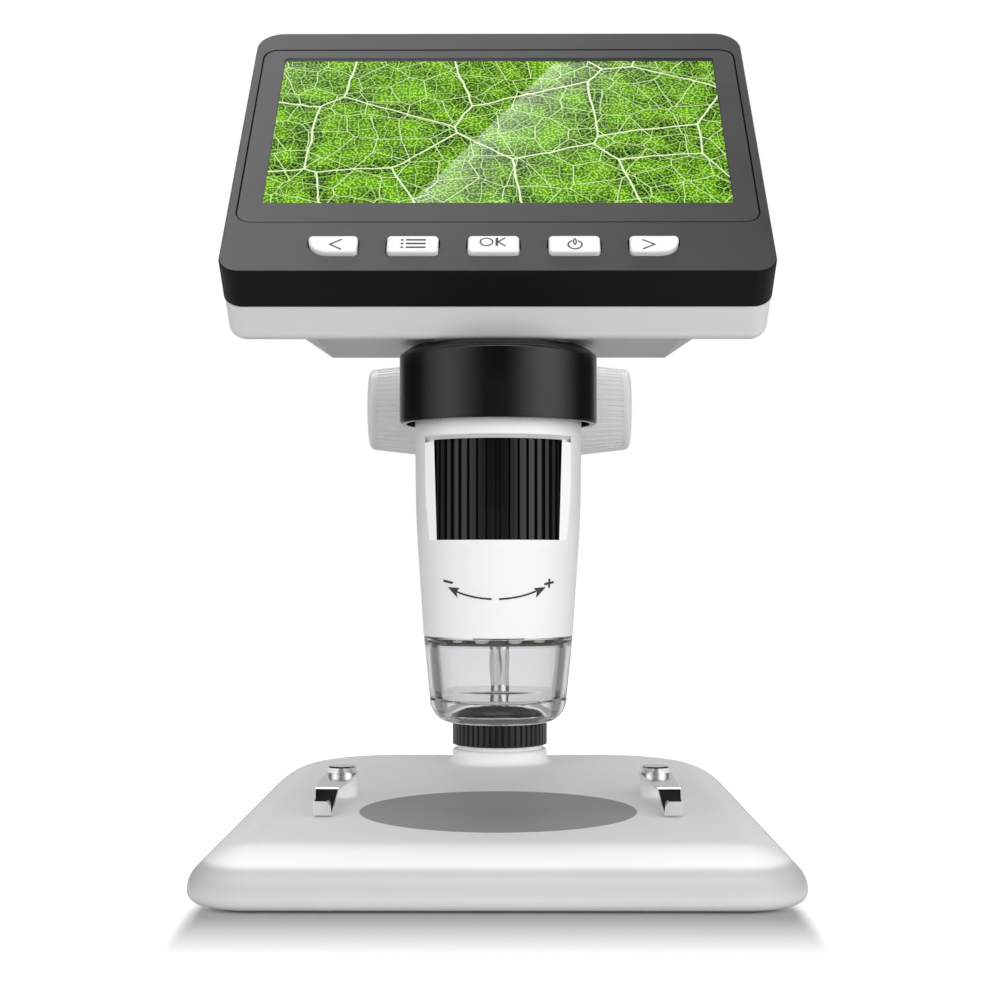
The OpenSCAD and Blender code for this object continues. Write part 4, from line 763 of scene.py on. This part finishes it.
# a slanting edge with glare fading to its right, and a patch in the upper left corner
LEFT_END = -DISPLAY_W / 2 - 2
UPPER_END, LOWER_END = DISPLAY_V + DISPLAY_H / 2 + 2, DISPLAY_V - DISPLAY_H / 2 - 2
EDGE_TOP_X, EDGE_LOW_X, EDGE_FADE = 14.5, -19.5, 9.5
GLARE_W, PATCH_W = 80, 40
reach = [GLARE_W * (k / 16) ** 1.6 for k in range(17)]
grid = [[mirrored(EDGE_TOP_X + (EDGE_LOW_X - EDGE_TOP_X) * i / 8 + r,
                  UPPER_END + (LOWER_END - UPPER_END) * i / 8) for r in reach] for i in range(9)]
glow_card("glare_right", grid, [[math.exp(-r / EDGE_FADE) for r in reach]] * 9, 3.7)
step = PATCH_W / 12
grid = [[mirrored(LEFT_END + step * k, UPPER_END - step * i) for k in range(13)] for i in range(13)]
far_off = [[step * math.hypot(i, k) for k in range(13)] for i in range(13)]
glow_card("glare_left", grid,
          [[0.75 * math.exp(-r / 5) + 0.25 * math.exp(-r / 20) for r in row] for row in far_off], 2.8)

# ---------- floor: seen white, apart from the soft shadow along the base's front ----------
me = bpy.data.meshes.new("floor")
bm = bmesh.new()
bmesh.ops.create_grid(bm, x_segments=8, y_segments=8, size=3.0)
bm.to_mesh(me)
bm.free()
floor = bpy.data.objects.new("floor", me)
bpy.context.scene.collection.objects.link(floor)

BASE_X, BASE_Y, CORNER = 0.0569, 0.0797, 0.012      # half the base's sides, and its corner
NEAR, MIDDLE, FAR = 0.0015, 0.027, 0.05             # from the base to the end of its shadow
SIDE_STEEP = 12.0                                   # how much faster it ends to the sides
m = Mat("floor")
path = m.node("ShaderNodeLightPath").outputs
place = m.split(m.coord)
beside = m.math("SUBTRACT", m.math("ABSOLUTE", place["X"]), BASE_X - 0.004 - CORNER / SIDE_STEEP)
out_x = m.math("MULTIPLY", beside, SIDE_STEEP)
out_y = m.math("SUBTRACT", m.math("MULTIPLY", place["Y"], -1.0), BASE_Y - CORNER)
squares = [m.math("POWER", m.math("MAXIMUM", out, 0.0), 2.0) for out in (out_x, out_y)]
away = m.math("SQRT", m.add(*squares))
lift = m.add(m.remap(away, CORNER + NEAR, CORNER + MIDDLE, 0.0, 0.61),
             m.remap(away, CORNER + MIDDLE, CORNER + FAR, 0.0, 0.39))
in_front = m.remap(place["Y"], -BASE_Y + 0.002, -BASE_Y + 0.014, 1, 0, "SMOOTHSTEP")
lift = m.add(m.math("MULTIPLY", lift, in_front), m.remap(in_front, 0, 1, 1.0, 0))
# clear pieces show it white only right behind them, and mirrors show it at half
sideways = m.math("DIVIDE", m.math("ABSOLUTE", place["X"]), m.math("MAXIMUM", place["Y"], 0.001))
through = m.math("MULTIPLY", path["Is Transmission Ray"],
                 m.remap(sideways, 0.35, 0.8, 1.0, 0.0, "SMOOTHSTEP"))
mirror = m.math("SUBTRACT", path["Is Glossy Ray"], path["Is Transmission Ray"], clamp=True)
seen = m.math("MAXIMUM", path["Is Camera Ray"],
              m.math("MAXIMUM", m.math("MULTIPLY", mirror, 0.5), through))
m.set(colour=m.mix(m.grain(4), (0.44, 0.44, 0.44, 1), (0.46, 0.46, 0.46, 1)), rough=0.9, spec=0.0,
      glow=(1, 1, 1, 1), glow_by=m.math("MULTIPLY", seen, lift))
me.materials.append(m.m)

# ---------- world: white to the camera, soft light, and white behind for clear pieces ----------
world = bpy.data.worlds.new("studio")
bpy.context.scene.world = world
world.use_nodes = True
tree = world.node_tree
back = tree.nodes["Background"]
path = tree.nodes.new("ShaderNodeLightPath").outputs
where = tree.nodes.new("ShaderNodeTexCoord").outputs["Generated"]
parts = tree.nodes.new("ShaderNodeSeparateXYZ")
tree.links.new(where, parts.inputs[0])
behind = tree.nodes.new("ShaderNodeMapRange")
behind.interpolation_type = "SMOOTHSTEP"
tree.links.new(parts.outputs["Y"], behind.inputs["Value"])
for k, value in zip(("From Min", "From Max", "To Min", "To Max"), (0.75, 0.95, 0.06, 1.0)):
    behind.inputs[k].default_value = value


def world_mix(fac, a, b):
    """a where fac is 0 and b where it is 1."""
    n = tree.nodes.new("ShaderNodeMix")
    tree.links.new(fac, n.inputs["Factor"])
    for socket, value in ((n.inputs[2], a), (n.inputs[3], b)):
        if hasattr(value, "is_output"):
            tree.links.new(value, socket)
        else:
            socket.default_value = value
    return n.outputs[0]


mirrored_level = tree.nodes.new("ShaderNodeMath")
mirrored_level.operation = "MULTIPLY"
tree.links.new(behind.outputs["Result"], mirrored_level.inputs[0])
mirrored_level.inputs[1].default_value = 0.5
level = world_mix(path["Is Glossy Ray"], 0.3, mirrored_level.outputs[0])
level = world_mix(path["Is Transmission Ray"], level, behind.outputs["Result"])
level = world_mix(path["Is Camera Ray"], level, 1.0)
back.inputs["Color"].default_value = (1, 1, 1, 1)
tree.links.new(level, back.inputs["Strength"])
bpy.context.scene.view_settings.view_transform = "Standard"
